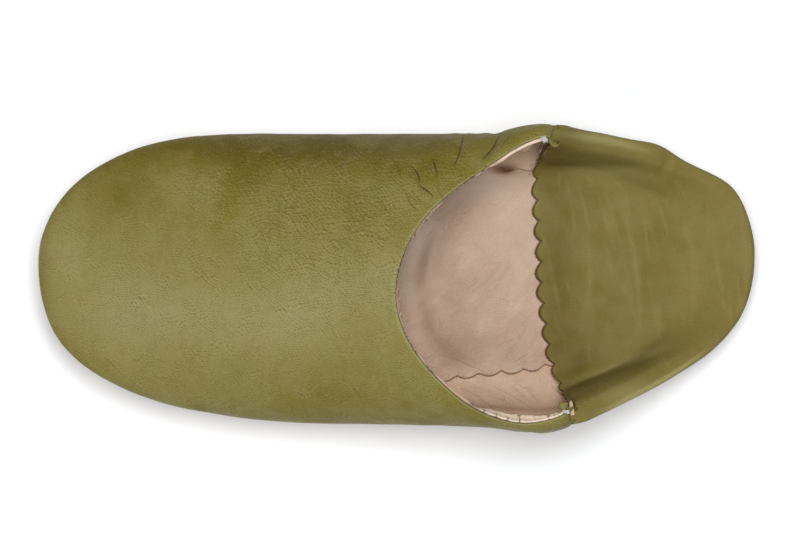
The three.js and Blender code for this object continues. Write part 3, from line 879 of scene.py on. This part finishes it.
LEATHER_WALL = 1.1
vamp_leather = sheet("vamp_leather", vamp, LEATHER_WALL, [vamp_finish, cut_edge], vamp_marks)
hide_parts("upper_vamp")

# %% [markdown]
# ## The vamp's lining
# An undyed leather is glued inside the vamp. Its cut edge shows past the olive one along the inner side of
# the throat and as a bright snipped band at the outer corner. Inside, it runs down the wall, rounds into
# the cup and goes under the sock, so that no joint shows there. It is the vamp's own grid moved inwards.

# %% The vamp's lining
LINING_WALL = 0.8
BOND = 0.15
BED_CLEARANCE = 0.05
SOCK_WALL = 0.9
CUP_FILLET = 12.0
UNDER_SOCK = 8.0
PUFF = 8.0
vamp_inside = normals(vamp)
down = vamp[:, ::-1][:, ::2]
down_square = vamp_inside[:, ::-1][:, ::2]
path_length = run_along(down, 1)
to_seam = path_length[:, -1:] - path_length
edge_x = vamp[:, -1, 0][:, None]
edge_y = vamp[:, -1, 1][:, None]
outer_roll = smoothstep(edge_x, -24, -38) * (edge_y > 0)
inner_strip = smoothstep(edge_x, -31, -38) * (edge_y < 0)
ROLL_REACH = 3.2
roll = 3.0 * outer_roll * (path_length / ROLL_REACH) * np.exp(1 - path_length / ROLL_REACH)
puff = PUFF * bell(down[..., 0], -47, 8) * bell(down[..., 2], 46, 12) * (down[..., 1] < 0)
depth = LEATHER_WALL + BOND + LINING_WALL + 1.2 * smoothstep(to_seam, 14, 0) + roll + puff
lining_wall_part = down - down_square * depth[..., None]
lining_wall_part[:, -1, 2] = down[:, -1, 2]
peek = -1.1 + 2.1 * inner_strip + 2.0 * outer_roll
tangent = unit(down[:, 0] - down[:, 1])
lip = lining_wall_part[:, :1] + tangent[:, None] * peek[..., None]
lip += down_square[:, :1] * (0.5 * outer_roll)[..., None]
foot = lining_wall_part[:, -1]
turn_angle = np.linspace(0, np.pi / 2, 13)[None, 1:]
inwards = inward(vamp_rows)[:, None]
fillet_plan = foot[:, None, :2] + inwards * (CUP_FILLET * (1 - np.cos(turn_angle)))[..., None]
floor_z = insole_height(fillet_plan[..., 0]) - SOCK_WALL - BED_CLEARANCE
fillet_z = floor_z + (foot[:, None, 2] - floor_z) * (1 - np.sin(turn_angle))
tongue_steps = np.linspace(0, UNDER_SOCK, 9)[None, 1:]
tongue_plan = fillet_plan[:, -1:] + inwards * tongue_steps[..., None]
tongue_z = insole_height(tongue_plan[..., 0]) - SOCK_WALL - BED_CLEARANCE
lining = np.concatenate(
    [lip, lining_wall_part, raised(fillet_plan, fillet_z), raised(tongue_plan, tongue_z)], 1
)
# Two folds at the inner corner run on from the lining into the sock; their darkness is painted shade.
CORNER_FOLD = ((-35.5, -43.6), (-41.5, -41.4), (-47.5, -43.2), 2.9, 1.0, 1.0)
CORNER_PLEAT = ((-46, -42.8), (-50, -41.5), (-54, -41.8), 1.2, 0.5, 0.8)
# The folds at the inner corner, with painted shade, then the snips in the outer band, on the plan.
LINING_CREASES = (
    CORNER_FOLD,
    ((-39, -43.5), (-42, -42.4), (-45.6, -43.2), 1.4, 0.5, 1.0),
    ((-39.6, -42.6), (-42, -41.5), (-45, -42.3), 1.4, 0.5, 1.0),
    CORNER_PLEAT,
    ((-32.4, 53), (-32.6, 51.2), (-33.2, 49), 0.9, 0.2, 1.0),
    ((-37.1, 55), (-37.2, 53.2), (-37.8, 50.8), 0.9, 0.25, 1.0),
    ((-41.4, 56), (-41.5, 54.4), (-41.9, 52), 0.9, 0.25, 1.0),
    ((-46.1, 55.5), (-46.2, 53.8), (-46.5, 51.4), 0.9, 0.2, 1.0),
    ((-57, 56), (-57.5, 53.5), (-57, 51.5), 0.7, 0.3, 0.7),
    ((-24, 42), (-33, 45), (-40, 53), 2.0, 0.35, 0.25),
    ((-28, 41), (-38, 44), (-47, 52), 2.2, 0.35, 0.2),
    ((-36, 41), (-44, 44), (-52, 50), 2.0, 0.3, 0.2),
)
lining_depth, lining_marks = creased(lining[..., :2], LINING_CREASES)
band = np.zeros(lining.shape[:2])
band[:, 1:path_length.shape[1] + 1] = (
    outer_roll * smoothstep(path_length, 5.5, 3.0) + 0.5 * inner_strip * smoothstep(path_length, 1.4, 0.6)
)
band[:, 0] = band[:, 1]
lining_marks["edge"] = np.clip(band, 0, 1)
# Painted light on the lining's inner side near the corner, and painted shade in the fold there.
lining_marks["dye_and_painted_light"] = -0.8 * bell(lining[..., 0], -50, 12) * (lining[..., 1] < -30)
lining_marks["dye_and_painted_light"] += 1.8 * bell(lining[..., 0], -42, 3.4) * bell(lining[..., 1], -42.6, 1.5)
lining = lining + normals(lining) * (lining_depth - 0.25 * soft_noise(lining, 12, 5))[..., None] * 0.8
TUCKED = np.array([1.4, 2.8, 4.2, 5.6])
POCKET_TOP = 58
ends = []
for end, side, reach in ((lining[:1], 1, -TUCKED[::-1][2:]), (lining[-1:], -1, -TUCKED)):
    shift = np.stack([reach, -0.35 * side * reach, 0 * reach], -1)
    part = end + shift[:, None]
    part[..., 2] = np.minimum(part[..., 2], POCKET_TOP - np.abs(reach)[:, None])
    ends.append(part)
lining = np.concatenate([ends[0], lining, ends[1]])
lining_marks = {mark: np.pad(values, ((2, 4), (0, 0)), mode="edge") for mark, values in lining_marks.items()}
sheet("vamp_lining", lining, LINING_WALL, [lining_finish], lining_marks)

# %% [markdown]
# ## The folded heel
# The quarter was made to stand up round the heel, but here it is trodden down for good: its outer face goes
# up the wall, over a rounded fold and down onto the footbed, where it ends in a pinked edge. A simulation
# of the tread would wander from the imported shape, so the fold is drawn as arcs, and the pinking is worked
# out along the edge: round lobes towards the toe and sharp cusps between them.

# %% Pinking the edge
PINK_PITCH = 7.9
PINK_DEPTH = 2.5
PINK_START = 3.15
LONGEST_EXTRA = 6


def pinked(run, pitch, deep):
    """Lobes along an edge: 0 at the top of each lobe and -deep at the cusps, which are at whole pitches."""
    return deep * (np.abs(np.sin(np.pi * run / pitch)) ** 0.75 - 1)


def cut_to(lines, extra, steps):
    """Lines cut or carried on by extra millimetres at their ends, with even steps."""
    ahead = unit(lines[:, -1] - lines[:, -4])
    longer = np.concatenate([lines, (lines[:, -1] + ahead * LONGEST_EXTRA)[:, None]], 1)
    spent = run_along(longer, 1)
    return placed(longer, spent, spent[:, -2] + extra, steps)


WALL_STEPS, TURN_STEPS, FLAP_STEPS = 24, 12, 72
flap_run = run_along(quarter_flap[:, -1])
pinking = pinked(flap_run + PINK_START, PINK_PITCH, PINK_DEPTH)
wall_part = respaced(quarter_wall, WALL_STEPS)
turn_part = respaced(quarter_turn, TURN_STEPS)[:, 1:]
flap_part = cut_to(quarter_flap, 0.9 + pinking, FLAP_STEPS)[:, 1:]
first_flap = wall_part.shape[1] + turn_part.shape[1]
heel = np.concatenate([wall_part, turn_part, flap_part], 1)
print("pinked edge", round(flap_run[-1], 1), "mm long")

# %% The quarter's creases and leather
QUARTER_CREASES = (
    ((-103, -47), (-102, -42), (-97, -37), 2.4, 0.5, 0.35),
    ((-84, -50), (-86, -40), (-82, -30), 5.0, 0.3, 0.0),
    ((-70, -40), (-90, -35), (-104, -33), 6.0, 0.2, 0.0),
    ((-70, 36), (-84, 33), (-96, 27), 6.0, 0.15, 0.0),
    ((-66, 40), (-76, 39), (-90, 35), 2.4, 0.2, 0.1),
    ((-62, 20), (-78, 16), (-100, 8), 5.0, 0.15, 0.0),
    ((-60, -18), (-80, -12), (-108, -14), 5.5, 0.15, 0.0),
    ((-88, -28), (-90, -8), (-86, 14), 7.0, 0.18, 0.0),
)
# Soft patches of painted shade (positive) and painted light (negative) on the flap and its rims; each is x,
# y, reach x, reach y, depth.
QUARTER_PAINTED_LIGHT_AND_SHADE = (
    (-62, 2, 8, 50, 0.4), (-70, 36, 8, 11, 0.5), (-76, -44, 20, 4, -0.25), (-82, 43, 22, 5, -0.4),
    (-130, 0, 9, 26, 0.1), (-75, -34, 14, 7, 0.22), (-80, 56, 24, 6, -0.3), (-100, -10, 14, 20, 0.06),
    (-118, 12, 12, 12, 0.06),
)
# Lines of painted light and shade: start, bend, end, half width and depth; pale ones, painted highlights on
# the fold's crests and slopes, are negative.
QUARTER_PAINTED_LIGHT_LINES = (
    ((-60, -55), (-80, -54), (-98, -48.5), 1.9, -0.8),
    ((-60, -45.5), (-80, -43.5), (-98, -36), 3.4, -0.55),
    ((-74, 53), (-100, 42.5), (-121, 28), 4.0, -0.15),
    ((-62, 42), (-80, 38.6), (-104, 25), 2.8, -0.9),
    ((-76, 51), (-101, 40.5), (-119, 27), 0.9, -0.9),
    ((-102, -43), (-122, -38), (-133, -26), 1.4, -0.15),
    ((-131, -30), (-138, -2), (-130, 26), 1.0, -0.25),
    ((-72, -20), (-77, 0), (-70, 22), 1.4, -0.3),
    ((-84, -34), (-96, -5), (-92, 25), 1.4, -0.3),
    ((-110, -25), (-117, 0), (-112, 20), 1.6, -0.25),
)
FILL_SHARE = 0.8
FOLD_BREADTH = 3.0
SOFTENING = 60
# Where the trodden heel stands out past the last: x, y, reach and how far (mm).
HEEL_BULGES = ((-98, -47, 9, 2.2), (-131, -33, 12, 2.6), (-122, 30, 10, 0.6))


def painted_light_lines(points, strokes):
    total = np.zeros(points.shape[:-1])
    for start, bend, end, width, deep in strokes:
        side, share = near_path(points[..., :2], bezier(start, bend, end))
        total += deep * bell(side, 0, width) * np.sin(np.pi * np.clip(share, 0.02, 0.98)) ** 0.5
    return total


def filled(points, first_flap_step):
    """The heel's hollow behind its rim filled by the layers folded there, so that it lies nearly flat."""
    crest = points[:, first_flap_step - 1, 2][:, None]
    flap = points[:, first_flap_step:]
    share = FILL_SHARE * smoothstep(flap[..., 0], -92, -120)
    flap[..., 2] = mix(flap[..., 2], np.maximum(flap[..., 2], crest - 0.4), share)
    return points


def softened(points):
    """The fold and the foot of its slope made rounder by averaging along each line."""
    line = points[:, WALL_STEPS + TURN_STEPS // 2:]
    for _ in range(SOFTENING):
        line[:, 1:-1] = (line[:, :-2] + 2 * line[:, 1:-1] + line[:, 2:]) / 4
    return points


def widened(points):
    """The fold's top made broader: the leather just inside the outline is moved further in."""
    inside = np.linalg.norm(points[..., :2] - widest(quarter_rows)[:, None], axis=-1)
    to_end = np.linalg.norm(points - points[:, -1:], axis=-1)
    shift = FOLD_BREADTH * smoothstep(inside, 0, 5) * smoothstep(inside, 26, 10) * smoothstep(to_end, 1, 12)
    shift = shift * smoothstep(points[..., 0], -120, -100)
    points[..., :2] += inward(quarter_rows)[:, None] * shift[..., None]
    return points


def bulged(points):
    """The quarter pushed out at its bulges, above the sole's seam."""
    foot = points[:, :1, 2]
    rise = smoothstep(points[..., 2], foot + 1.5, foot + 9)
    for x, y, reach, out in HEEL_BULGES:
        away = np.hypot(points[..., 0] - x, points[..., 1] - y)
        push = np.array([x + 60, y * 1.4]) / np.hypot(x + 60, y * 1.4)
        points[..., :2] += (out * bell(away, 0, reach) * rise)[..., None] * push
    return points


heel = widened(softened(filled(heel, first_flap)))
heel_square = normals(heel)
heel_depth, quarter_marks = creased(heel[..., :2], QUARTER_CREASES)
steps_share = np.linspace(0, 1, heel.shape[1])[None]
heel_fade = smoothstep(steps_share, 0, 0.06) * smoothstep(steps_share, 1.0, 0.9)
on_top = smoothstep(heel_square[..., 2], 0.1, 0.5)
heel_swell = 0.22 * soft_noise(heel, 24, 11) + 0.08 * soft_noise(heel * np.array([0.35, 1, 1]), 6, 12)
heel_run = run_along(heel, 1)
past_crest = heel_run - heel_run[:, WALL_STEPS + TURN_STEPS][:, None]
heel_dip = seam_dip(quarter_rows, past_crest, 2.2) * smoothstep(past_crest, 9, 0)
heel_dip = heel_dip * smoothstep(steps_share, 0, 0.05)
heel_moved = (heel_swell - heel_depth * on_top) * heel_fade - heel_dip
heel = bulged(leaned(heel + heel_square * heel_moved[..., None]))
to_edge = np.linalg.norm(heel - heel[:, -1:], axis=-1)
quarter_marks["crease"] = quarter_marks["crease"] * on_top
quarter_marks["line"] = quarter_marks["line"] * on_top
quarter_marks["edge"] = smoothstep(to_edge, 0.8, 0.25)
# The quarter's painted light and shade: patches, and lines on faces that look up.
quarter_marks["dye_and_painted_light"] = soft_patches(heel, QUARTER_PAINTED_LIGHT_AND_SHADE) + painted_light_lines(heel, QUARTER_PAINTED_LIGHT_LINES) * on_top
quarter_leather = sheet(
    "quarter_leather", heel, LEATHER_WALL, [quarter_finish, pinked_edge], quarter_marks
)
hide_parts("upper_quarter")

# %% The quarter's lining
outer_corner = smoothstep(quarter_rows, quarter_first + 1.9, quarter_first + 0.7)
inner_corner = smoothstep(quarter_rows, quarter_last - 1.3, quarter_last - 0.4)
lining_reach = 1.25 + pinking + 0.6 * inner_corner
lining_flap = cut_to(quarter_flap, lining_reach, FLAP_STEPS)[:, 1:]
heel_lining = filled(np.concatenate([wall_part, turn_part, lining_flap], 1), first_flap)
heel_lining = bulged(leaned(widened(softened(heel_lining))))
heel_lining = heel_lining - normals(heel_lining) * (LEATHER_WALL + BOND)
lining_end = np.linalg.norm(heel_lining - heel_lining[:, -1:], axis=-1)
QUARTER_LINING_WALL = 0.6
held_back = slice(6, -13)
# The lining goes to the deep brown in its last 1.5 to 3 mm, where it shows past the pinked edge: a dark line
# that is partly the edge's own colour and partly painted shade under it.
sheet(
    "quarter_lining", heel_lining[held_back, ::2], QUARTER_LINING_WALL, [lining_finish, cream_edge],
    {"crease": (smoothstep(lining_end, 3.0, 1.5) * (1 - outer_corner)[:, None])[held_back, ::2]},
)

# %% [markdown]
# ## The sole
# One thick natural leather is cupped up round the foot and sewn edge to edge to the upper. Its grid runs in
# lines from the seam round the curl and in to the middle line. Stations are paired across the foot, so both
# halves meet there and are welded, which leaves no hole to patch. Near the toe the edge is gathered.

# %% Stations round the sole
STATIONS = 300
station_turn = np.linspace(-np.pi / 2, np.pi / 2, STATIONS + 1)
station_x = LENGTH / 2 * np.sin(station_turn)
ring_rows = np.concatenate([row_at_x(station_x, False), row_at_x(station_x, True)[::-1][1:]])
ring_rows[-1] = RING_ROWS
ring_rows[0] = 0
middle_x = np.clip(np.concatenate([station_x, station_x[::-1][1:]]), MIDDLE_BACK, MIDDLE_FRONT)
middle_line = np.stack([middle_x, middle_y(middle_x)], -1)
seam_line = seam_plan(ring_rows)
seam_z = seam_height(ring_rows)
seam_run = run_along(seam_line)
print("sole seam", round(seam_run[-1], 1), "mm round")

# %% Where the stitches of the sole seam go
END_PITCH, SIDE_PITCH = 2.6, 4.25
SOLE_MIDDLE = 4


def near_end(x, low=92, high=122):
    """0 along the sides and 1 round the toe and the heel."""
    return smoothstep(np.abs(x - SOLE_MIDDLE), low, high)


stitch_pitch = mix(SIDE_PITCH, END_PITCH, near_end(seam_line[:, 0], 96, 124))
stitch_phase = np.pad(np.cumsum(np.diff(seam_run) / (stitch_pitch[1:] + stitch_pitch[:-1]) * 2), (1, 0))
stitch_phase *= round(stitch_phase[-1]) / stitch_phase[-1]
stitch_count = round(stitch_phase[-1])
print("stitches round the sole", stitch_count)

# %% The sole's leather
CURL_STEPS, FLAT_STEPS = 26, 26
CUP_SLACK = 0.2
run = middle_line - seam_line
run_length = np.linalg.norm(run, axis=-1, keepdims=True)
curl_share = ring["curl"](ring_rows)[:, None] / run_length
turn = np.linspace(0, np.pi / 2, CURL_STEPS + 1)[None]
beyond = np.linspace(0, 1, FLAT_STEPS + 1)[None, 1:]
reach = np.concatenate([curl_share * (1 - np.cos(turn)), mix(curl_share, 1, beyond)], 1)
rise = np.concatenate([1 - np.sin(turn), np.zeros_like(beyond)], 1)
sole_plan = seam_line[:, None] + run[:, None] * reach[..., None]
base = toe_lift(sole_plan[..., 0]) + heel_lift(sole_plan[..., 0])
sole_z = base + (seam_z[:, None] - SEAM_GAP / 2 - base) * rise
sole = raised(sole_plan, sole_z)
sole_in = normals(sole, closed=True)
near_ends = near_end(seam_line[:, 0])[:, None]
below_seam = seam_z[:, None] - sole[..., 2]
pleats = np.cos(2 * np.pi * stitch_phase)[:, None]
gather = 0.32 * near_ends * pleats * np.exp(-below_seam / 3.2)
side_gather = 0.1 * (1 - near_ends) * pleats * np.exp(-below_seam / 1.6)
off_floor = smoothstep(sole[..., 2], 0.5, 3.0) * smoothstep(below_seam, -0.2, 1.0)
sole_swell = 0.25 * soft_noise(sole * np.array([0.4, 1, 1]), 14, 21) * off_floor
moved = gather + side_gather + sole_swell
moved[-1] = moved[0]
sole = sole + sole_in * moved[..., None]
# Painted shade in the gathered pleats, strongest close to the seam.
sole_marks = {"crease": np.clip(2.4 * (gather + side_gather), 0, 1) * np.exp(-below_seam / 2.5)}
sole_leather = sheet(
    "sole_leather", sole[::-1], SOLE_WALL - CUP_SLACK, [sole_finish, cream_edge],
    {mark: values[::-1] for mark, values in sole_marks.items()}, weld=True,
)
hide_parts("sole")

# %% [markdown]
# ## The footbed
# A soft pad lies in the cup, and a thin cream sock is glued over it. The sock runs to the wall on the inner
# side; on the outer side it stops short in a pinked edge on the lining. The pad is a closed crowned form,
# the sock a thin sheet with a soft trough where the foot has pressed it.

# %% Where the cup meets the footbed
cup = sole + normals(sole, closed=True) * (SOLE_WALL + SEAM_GAP)
cup_depth = insole_height(cup[..., 0]) - 0.8 - cup[..., 2]
edge_index = np.argmax(cup_depth > 0, axis=1)
pick = np.arange(len(cup))
share = cup_depth[pick, edge_index - 1] / (cup_depth[pick, edge_index - 1] - cup_depth[pick, edge_index])
bed_edge = mix(cup[pick, edge_index - 1], cup[pick, edge_index], share[:, None])[:, :2]
bed_inward = inward(ring_rows)
on_outer = ring_rows > TOE_ROW
print("footbed", round(np.ptp(bed_edge[:, 0]), 1), "x", round(np.ptp(bed_edge[:, 1]), 1), "mm")


def bed_grid(edge, steps, power=1.4):
    """Lines from the footbed's edge to its middle line, closer together at the edge."""
    share = np.linspace(0, 1, steps + 1)[None, :, None] ** power
    return mix(edge[:, None], middle_line[:, None], share)


# %% The pad
PAD_WALL = 4.0
pad_plan = bed_grid(bed_edge + bed_inward * 0.4, 14)
from_edge = np.linalg.norm(pad_plan - bed_edge[:, None], axis=-1)
pad_top = insole_height(pad_plan[..., 0]) - 1.0 - 1.0 * smoothstep(from_edge, 32, 22)
pad_top = pad_top - 1.6 * np.exp(-from_edge / 1.2)
pad = raised(pad_plan, pad_top)
footbed_pad = sheet("footbed_pad", pad, PAD_WALL, [sock_finish], weld=True, quality=False)
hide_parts("insole")

# %% The sock
SOCK_PITCH = 8.6
SOCK_DEPTH = 1.9
SOCK_CUSP = -22.9
SOCK_SLACK = 0.1
edge_place = bed_edge[:, 0]
inset = 4.6 + 8.2 * np.clip((-16 - edge_place) / 42.5, -0.35, 1)
inset *= smoothstep(edge_place, -130, -108) * smoothstep(edge_place, 96, 60)
inset = np.where(on_outer, np.maximum(inset, 0.4), 0.4)
inset_place = edge_place + bed_inward[:, 0] * inset
lobes = np.where(on_outer, pinked(inset_place - SOCK_CUSP, SOCK_PITCH, SOCK_DEPTH), 0)
lobes = lobes * smoothstep(edge_place, -128, -112) * smoothstep(edge_place, 92, 70)
sock_plan = bed_grid(bed_edge + bed_inward * (inset - lobes)[:, None], 44, 1.25)
from_sock_edge = np.linalg.norm(sock_plan - sock_plan[:, :1], axis=-1)
upturn = np.where(on_outer & (inset > 1), 0, 1)[:, None] * 1.6 * np.exp(-from_sock_edge / 2.6)
sock_z = insole_height(sock_plan[..., 0]) + upturn
sock = raised(sock_plan, sock_z)
# Pale patches are painted light on the sock's inner front, in the shade of the inner wall and the throat;
# dark ones are painted shade under the throat's outer part and middle, and in the fold at the inner corner.
# Each is x, y, reach x, reach y, depth.
SOCK_PAINTED_LIGHT_AND_SHADE = (
    (-36, 0, 14, 20, -0.1), (-32, -38, 12, 8, -0.75), (-8, -18, 8, 12, -0.8), (-32, 27, 22, 9, 0.25),
    (-19, 30, 9, 9, 0.3), (-21, 4, 12, 22, 0.3), (-42, -42.4, 3.2, 1.5, 1.4),
)
# Sock creases: start, bend, end, half width, depth, and the darkness of their painted shade.
SOCK_CREASES = (
    ((-42, -38), (-24, -33), (-13, -16), 3.4, 0.8, 0.2),
    ((-15.5, -20), (-7.5, -6), (-9, 9), 3.2, 1.1, 0.7),
    ((-8.8, 5), (-9.5, 19), (-18, 30), 3.2, 1.1, 0.65),
    ((-21, -22), (-14, -8), (-15, 4), 3.4, 0.7, 0.25),
    CORNER_FOLD,
    CORNER_PLEAT,
    ((-22, -35), (-34, -38), (-46, -36), 3.0, 0.4, 0.15),
    ((-14, 26), (-24, 30), (-30, 35), 2.6, 0.25, 0.2),
    ((-17, 29), (-28, 33), (-36, 37), 2.0, 0.2, 0.3),
)
sock_depth, sock_marks = creased(sock[..., :2], SOCK_CREASES)
# A thin painted shadow of the heel's pinked edge, drawn on the sock along it.
flap_side, _ = near_path(sock[..., :2], heel[:, -1, :2])
by_flap = np.abs(flap_side) < np.minimum(np.abs(sock_marks["line_side"]), 3)
flap_shadow_line = 0.65 * smoothstep(np.abs(flap_side), LINE_REACH, 1.0)
sock_marks["line"] = np.where(by_flap, flap_shadow_line, sock_marks["line"])
sock_marks["line_side"] = np.where(by_flap, flap_side, sock_marks["line_side"])
sock_marks["dye_and_painted_light"] = soft_patches(sock, SOCK_PAINTED_LIGHT_AND_SHADE)
sock_marks["edge"] = smoothstep(from_sock_edge, 0.7, 0.3) * (on_outer & (inset > 1))[:, None]
flap_clear = smoothstep(sock_plan[..., 0], -58, -48)
sock_swell = 0.18 * soft_noise(sock, 13, 31) * flap_clear
sock[..., 2] += sock_swell - sock_depth * smoothstep(from_sock_edge, 0, 2)
under_flap = insole_height(sock[..., 0]) + 0.15 + 3 * flap_clear
sock[..., 2] = np.where(flap_clear < 1, np.minimum(sock[..., 2], under_flap), sock[..., 2])
sock[0, :, 2] = sock[-1, :, 2]
sheet(
    "insole_sock", sock, SOCK_WALL - SOCK_SLACK, [sock_finish, sock_edge],
    sock_marks, weld=True,
)

# %% [markdown]
# ## Stitches
# The sole is whip-stitched: each stitch is a short slanting bit of waxed thread over the joint, and below
# it the needle has left a dark slit in the cream leather. They are made as one mesh of small rounded beads,
# laid along the seam at the pitch counted above, with small seeded differences, as a hand would leave them.

# %% Beads along a seam
hand = random.Random(41)
UP = Vector((0, 0, 1))


def bead(bm, centre, across, out, length, width, proud):
    """One rounded bit, length along across, width along the seam and proud along out."""
    across = Vector(across).normalized()
    out = Vector(out).normalized()
    out = (out - across * out.dot(across)).normalized()
    side = out.cross(across)
    turn = Matrix((across * length / 2, side * width / 2, out * proud)).transposed().to_4x4()
    place = Matrix.Translation(Vector(centre)) @ turn
    bmesh.ops.create_uvsphere(bm, u_segments=8, v_segments=5, radius=1, matrix=Matrix.Scale(MM, 4) @ place)


def beads(name, bits, material):
    bm = bmesh.new()
    for bit in bits:
        bead(bm, *bit)
    bmesh.ops.recalc_face_normals(bm, faces=bm.faces)
    for face in bm.faces:
        face.smooth = True
    return piece_from(bm, name, [material])


# %% The sole seam's stitches
thread_bits = []
slit_bits = []
for number in range(stitch_count):
    where = np.interp(number + hand.uniform(-0.08, 0.08), stitch_phase, ring_rows)
    at_end = float(near_end(widest(where)[0]))
    point = Vector((*seam_plan(where), seam_height(where)))
    out = Vector((*-inward(where), 0.0))
    along = Vector((-out.y, out.x, 0.0))
    slant = hand.uniform(0.15, 0.45)
    across = UP + along * slant
    length = hand.uniform(1.5, 2.0) + 0.6 * at_end
    thread_bits.append((point + out * 0.1 + UP * 0.25, across, out, length, 0.5, 0.34))
    slit_length = hand.uniform(1.2, 1.9) + 0.3 * at_end
    drop = point - UP * (0.7 + slit_length / 2) + out * 0.02 - along * slant * 1.1
    slit_bits.append((drop, across, out, slit_length, 0.46, 0.22))
    if at_end > 0.3:
        notch = point + UP * 1.15 + out * 0.22 + along * 0.9
        slit_bits.append((notch, across, out, 1.0, 0.5, 0.16))
beads("sole_stitches", thread_bits, thread)
beads("sole_stitch_holes", slit_bits, stitch_hole)

# %% The side seams' stitches
FIRST_STITCH, BELOW_TACK = 1.5, 9
side_bits = []
side_slits = []
for column, outward in ((vamp[0], vamp_inside[0]), (vamp[-1], vamp_inside[-1])):
    length = run_along(column)
    distance = FIRST_STITCH
    while distance < length[-1] - BELOW_TACK:
        point, out = (
            Vector([np.interp(distance, length, axis) for axis in line.T]) for line in (column, outward)
        )
        heading = Vector((-1, 0, hand.uniform(-0.5, 0.5)))
        centre = point + Vector((-0.2, 0, 0))
        side_bits.append((centre + out * 0.02, heading, out, hand.uniform(1.2, 2.0), 0.42, 0.26))
        side_slits.append((centre - out * 0.05 + UP * 1.6, UP, out, 3.0, 0.4, 0.12))
        distance += hand.uniform(3.0, 4.4)
beads("side_seam_stitches", side_bits, thread)
beads("side_seam_gaps", side_slits, stitch_hole)

# %% [markdown]
# ## Corner tacks and ends
# Each side seam is locked at its top with a few turns of white thread. At the outer corner the vamp's end is
# a small green tab and the quarter's lining ends in a cream strip, which the tack holds together.

# %% Corner tacks, tab and strip
tack_bits = []
for corner, heading, spread, length in (
    (Vector((-55.6, -52.6, 70.6)), Vector((-0.43, 0.9, -0.4)), Vector((0.42, 0.16, 0.0)), 3.3),
    (Vector((-64.0, 50.3, 67.6)), Vector((1, 0.2, -0.1)), Vector((-0.1, 0.34, 0.0)), 2.7),
):
    for number in range(4):
        shift = spread * (number - 1.5)
        tack_bits.append((corner + shift, heading, UP, length, 0.5, 0.4))
beads("corner_tacks", tack_bits, white_thread)
loose_bits = []
for start, end in (
    ((-55.6, -52.6, 66), (-53.6, -49.6, 62)),
    ((-56, -52.2, 66), (-54.6, -47.6, 61)),
    ((-54.8, -52, 65), (-52.8, -47.8, 60)),
):
    start, end = Vector(start), Vector(end)
    loose_bits.append(((start + end) / 2, end - start, UP, (end - start).length, 0.32, 0.2))
beads("corner_threads", loose_bits, stitch_hole)


def small_strip(name, start, end, width, sag, wall, material, edge):
    """A short bent strip of leather between two points, level across."""
    start, end = np.array(start, float), np.array(end, float)
    t = np.linspace(0, 1, 9)[:, None, None]
    run = end - start
    side = np.array([-run[1], run[0], 0.0]) / np.hypot(run[0], run[1])
    s = np.linspace(-0.5, 0.5, 5)[None, :, None]
    pinch = 1 - 0.35 * t**2
    lift = sag * np.sin(np.pi * t) - 0.5 * (2 * s) ** 2 * 0.4
    points = start + run * t + side * s * width * pinch + np.array([0, 0, 1.0]) * lift
    sheet(name, points, wall, [material, edge])


small_strip("corner_tab", (-64.4, 48.4, 64.0), (-61.2, 47.8, 63.6), 3.4, 0.5, 0.9,
            vamp_finish, cut_edge)
small_strip("corner_strip", (-66.4, 51.6, 65.2), (-65.6, 46.0, 63.2), 1.7, 0.7, 0.8,
            lining_finish, cream_edge)

# %% [markdown]
# ## Floor, light and camera
# The photograph looks straight down at the slipper on a white ground. Its light is one big soft box almost
# overhead, a little to the heel's inner side, a weaker one from the toe's outer side, and a bright room.
# The camera is far off with a long lens, so the picture has hardly any perspective; image right is the heel
# and image down is the outer side.

# %% The floor
floor_finish = plain_finish("pale floor", (0.905, 0.925, 0.95, 1), (0.895, 0.915, 0.94, 1), 0.9, 30, 0.0)
bm = bmesh.new()
bmesh.ops.create_grid(bm, x_segments=4, y_segments=4, size=3.0)
object_from(bm, "floor", [floor_finish])


# %% The light
def soft_box(name, azimuth, elevation, distance, size, power):
    """An area light that looks at the slipper; azimuth is from +X towards +Y."""
    light = bpy.data.lights.new(name, "AREA")
    light.shape = "SQUARE"
    light.size = size
    light.energy = power
    lamp = linked(name, light)
    a, e = math.radians(azimuth), math.radians(elevation)
    lamp.location = Vector((math.cos(a) * math.cos(e), math.sin(a) * math.cos(e), math.sin(e))) * distance
    lamp.rotation_mode = "QUATERNION"
    lamp.rotation_quaternion = lamp.location.to_track_quat("Z", "Y")


soft_box("key soft box", 50, 45, 1.5, 1.0, 6.5)
soft_box("top soft box", -112, 82.5, 1.6, 0.62, 22)
world = bpy.data.worlds.new("bright room")
world.use_nodes = True
background = world.node_tree.nodes["Background"].inputs
background["Color"].default_value = (1, 1, 1, 1)
background["Strength"].default_value = 0.28
bpy.context.scene.world = world
bpy.context.scene.view_settings.view_transform = "Standard"

# %% The camera
CAMERA_HEIGHT = 3.0
FRAME_WIDTH = 0.3036
SENSOR = 36
MEAN_HEIGHT = 0.03
camera_data = bpy.data.cameras.new("camera")
camera_data.sensor_width = SENSOR
camera_data.lens = SENSOR * (CAMERA_HEIGHT - MEAN_HEIGHT) / FRAME_WIDTH
camera = linked("camera", camera_data)
camera.location = (0, 0, CAMERA_HEIGHT)
camera.rotation_euler = (0, 0, math.pi)
bpy.context.scene.camera = camera
print("lens", round(camera_data.lens, 1), "mm")
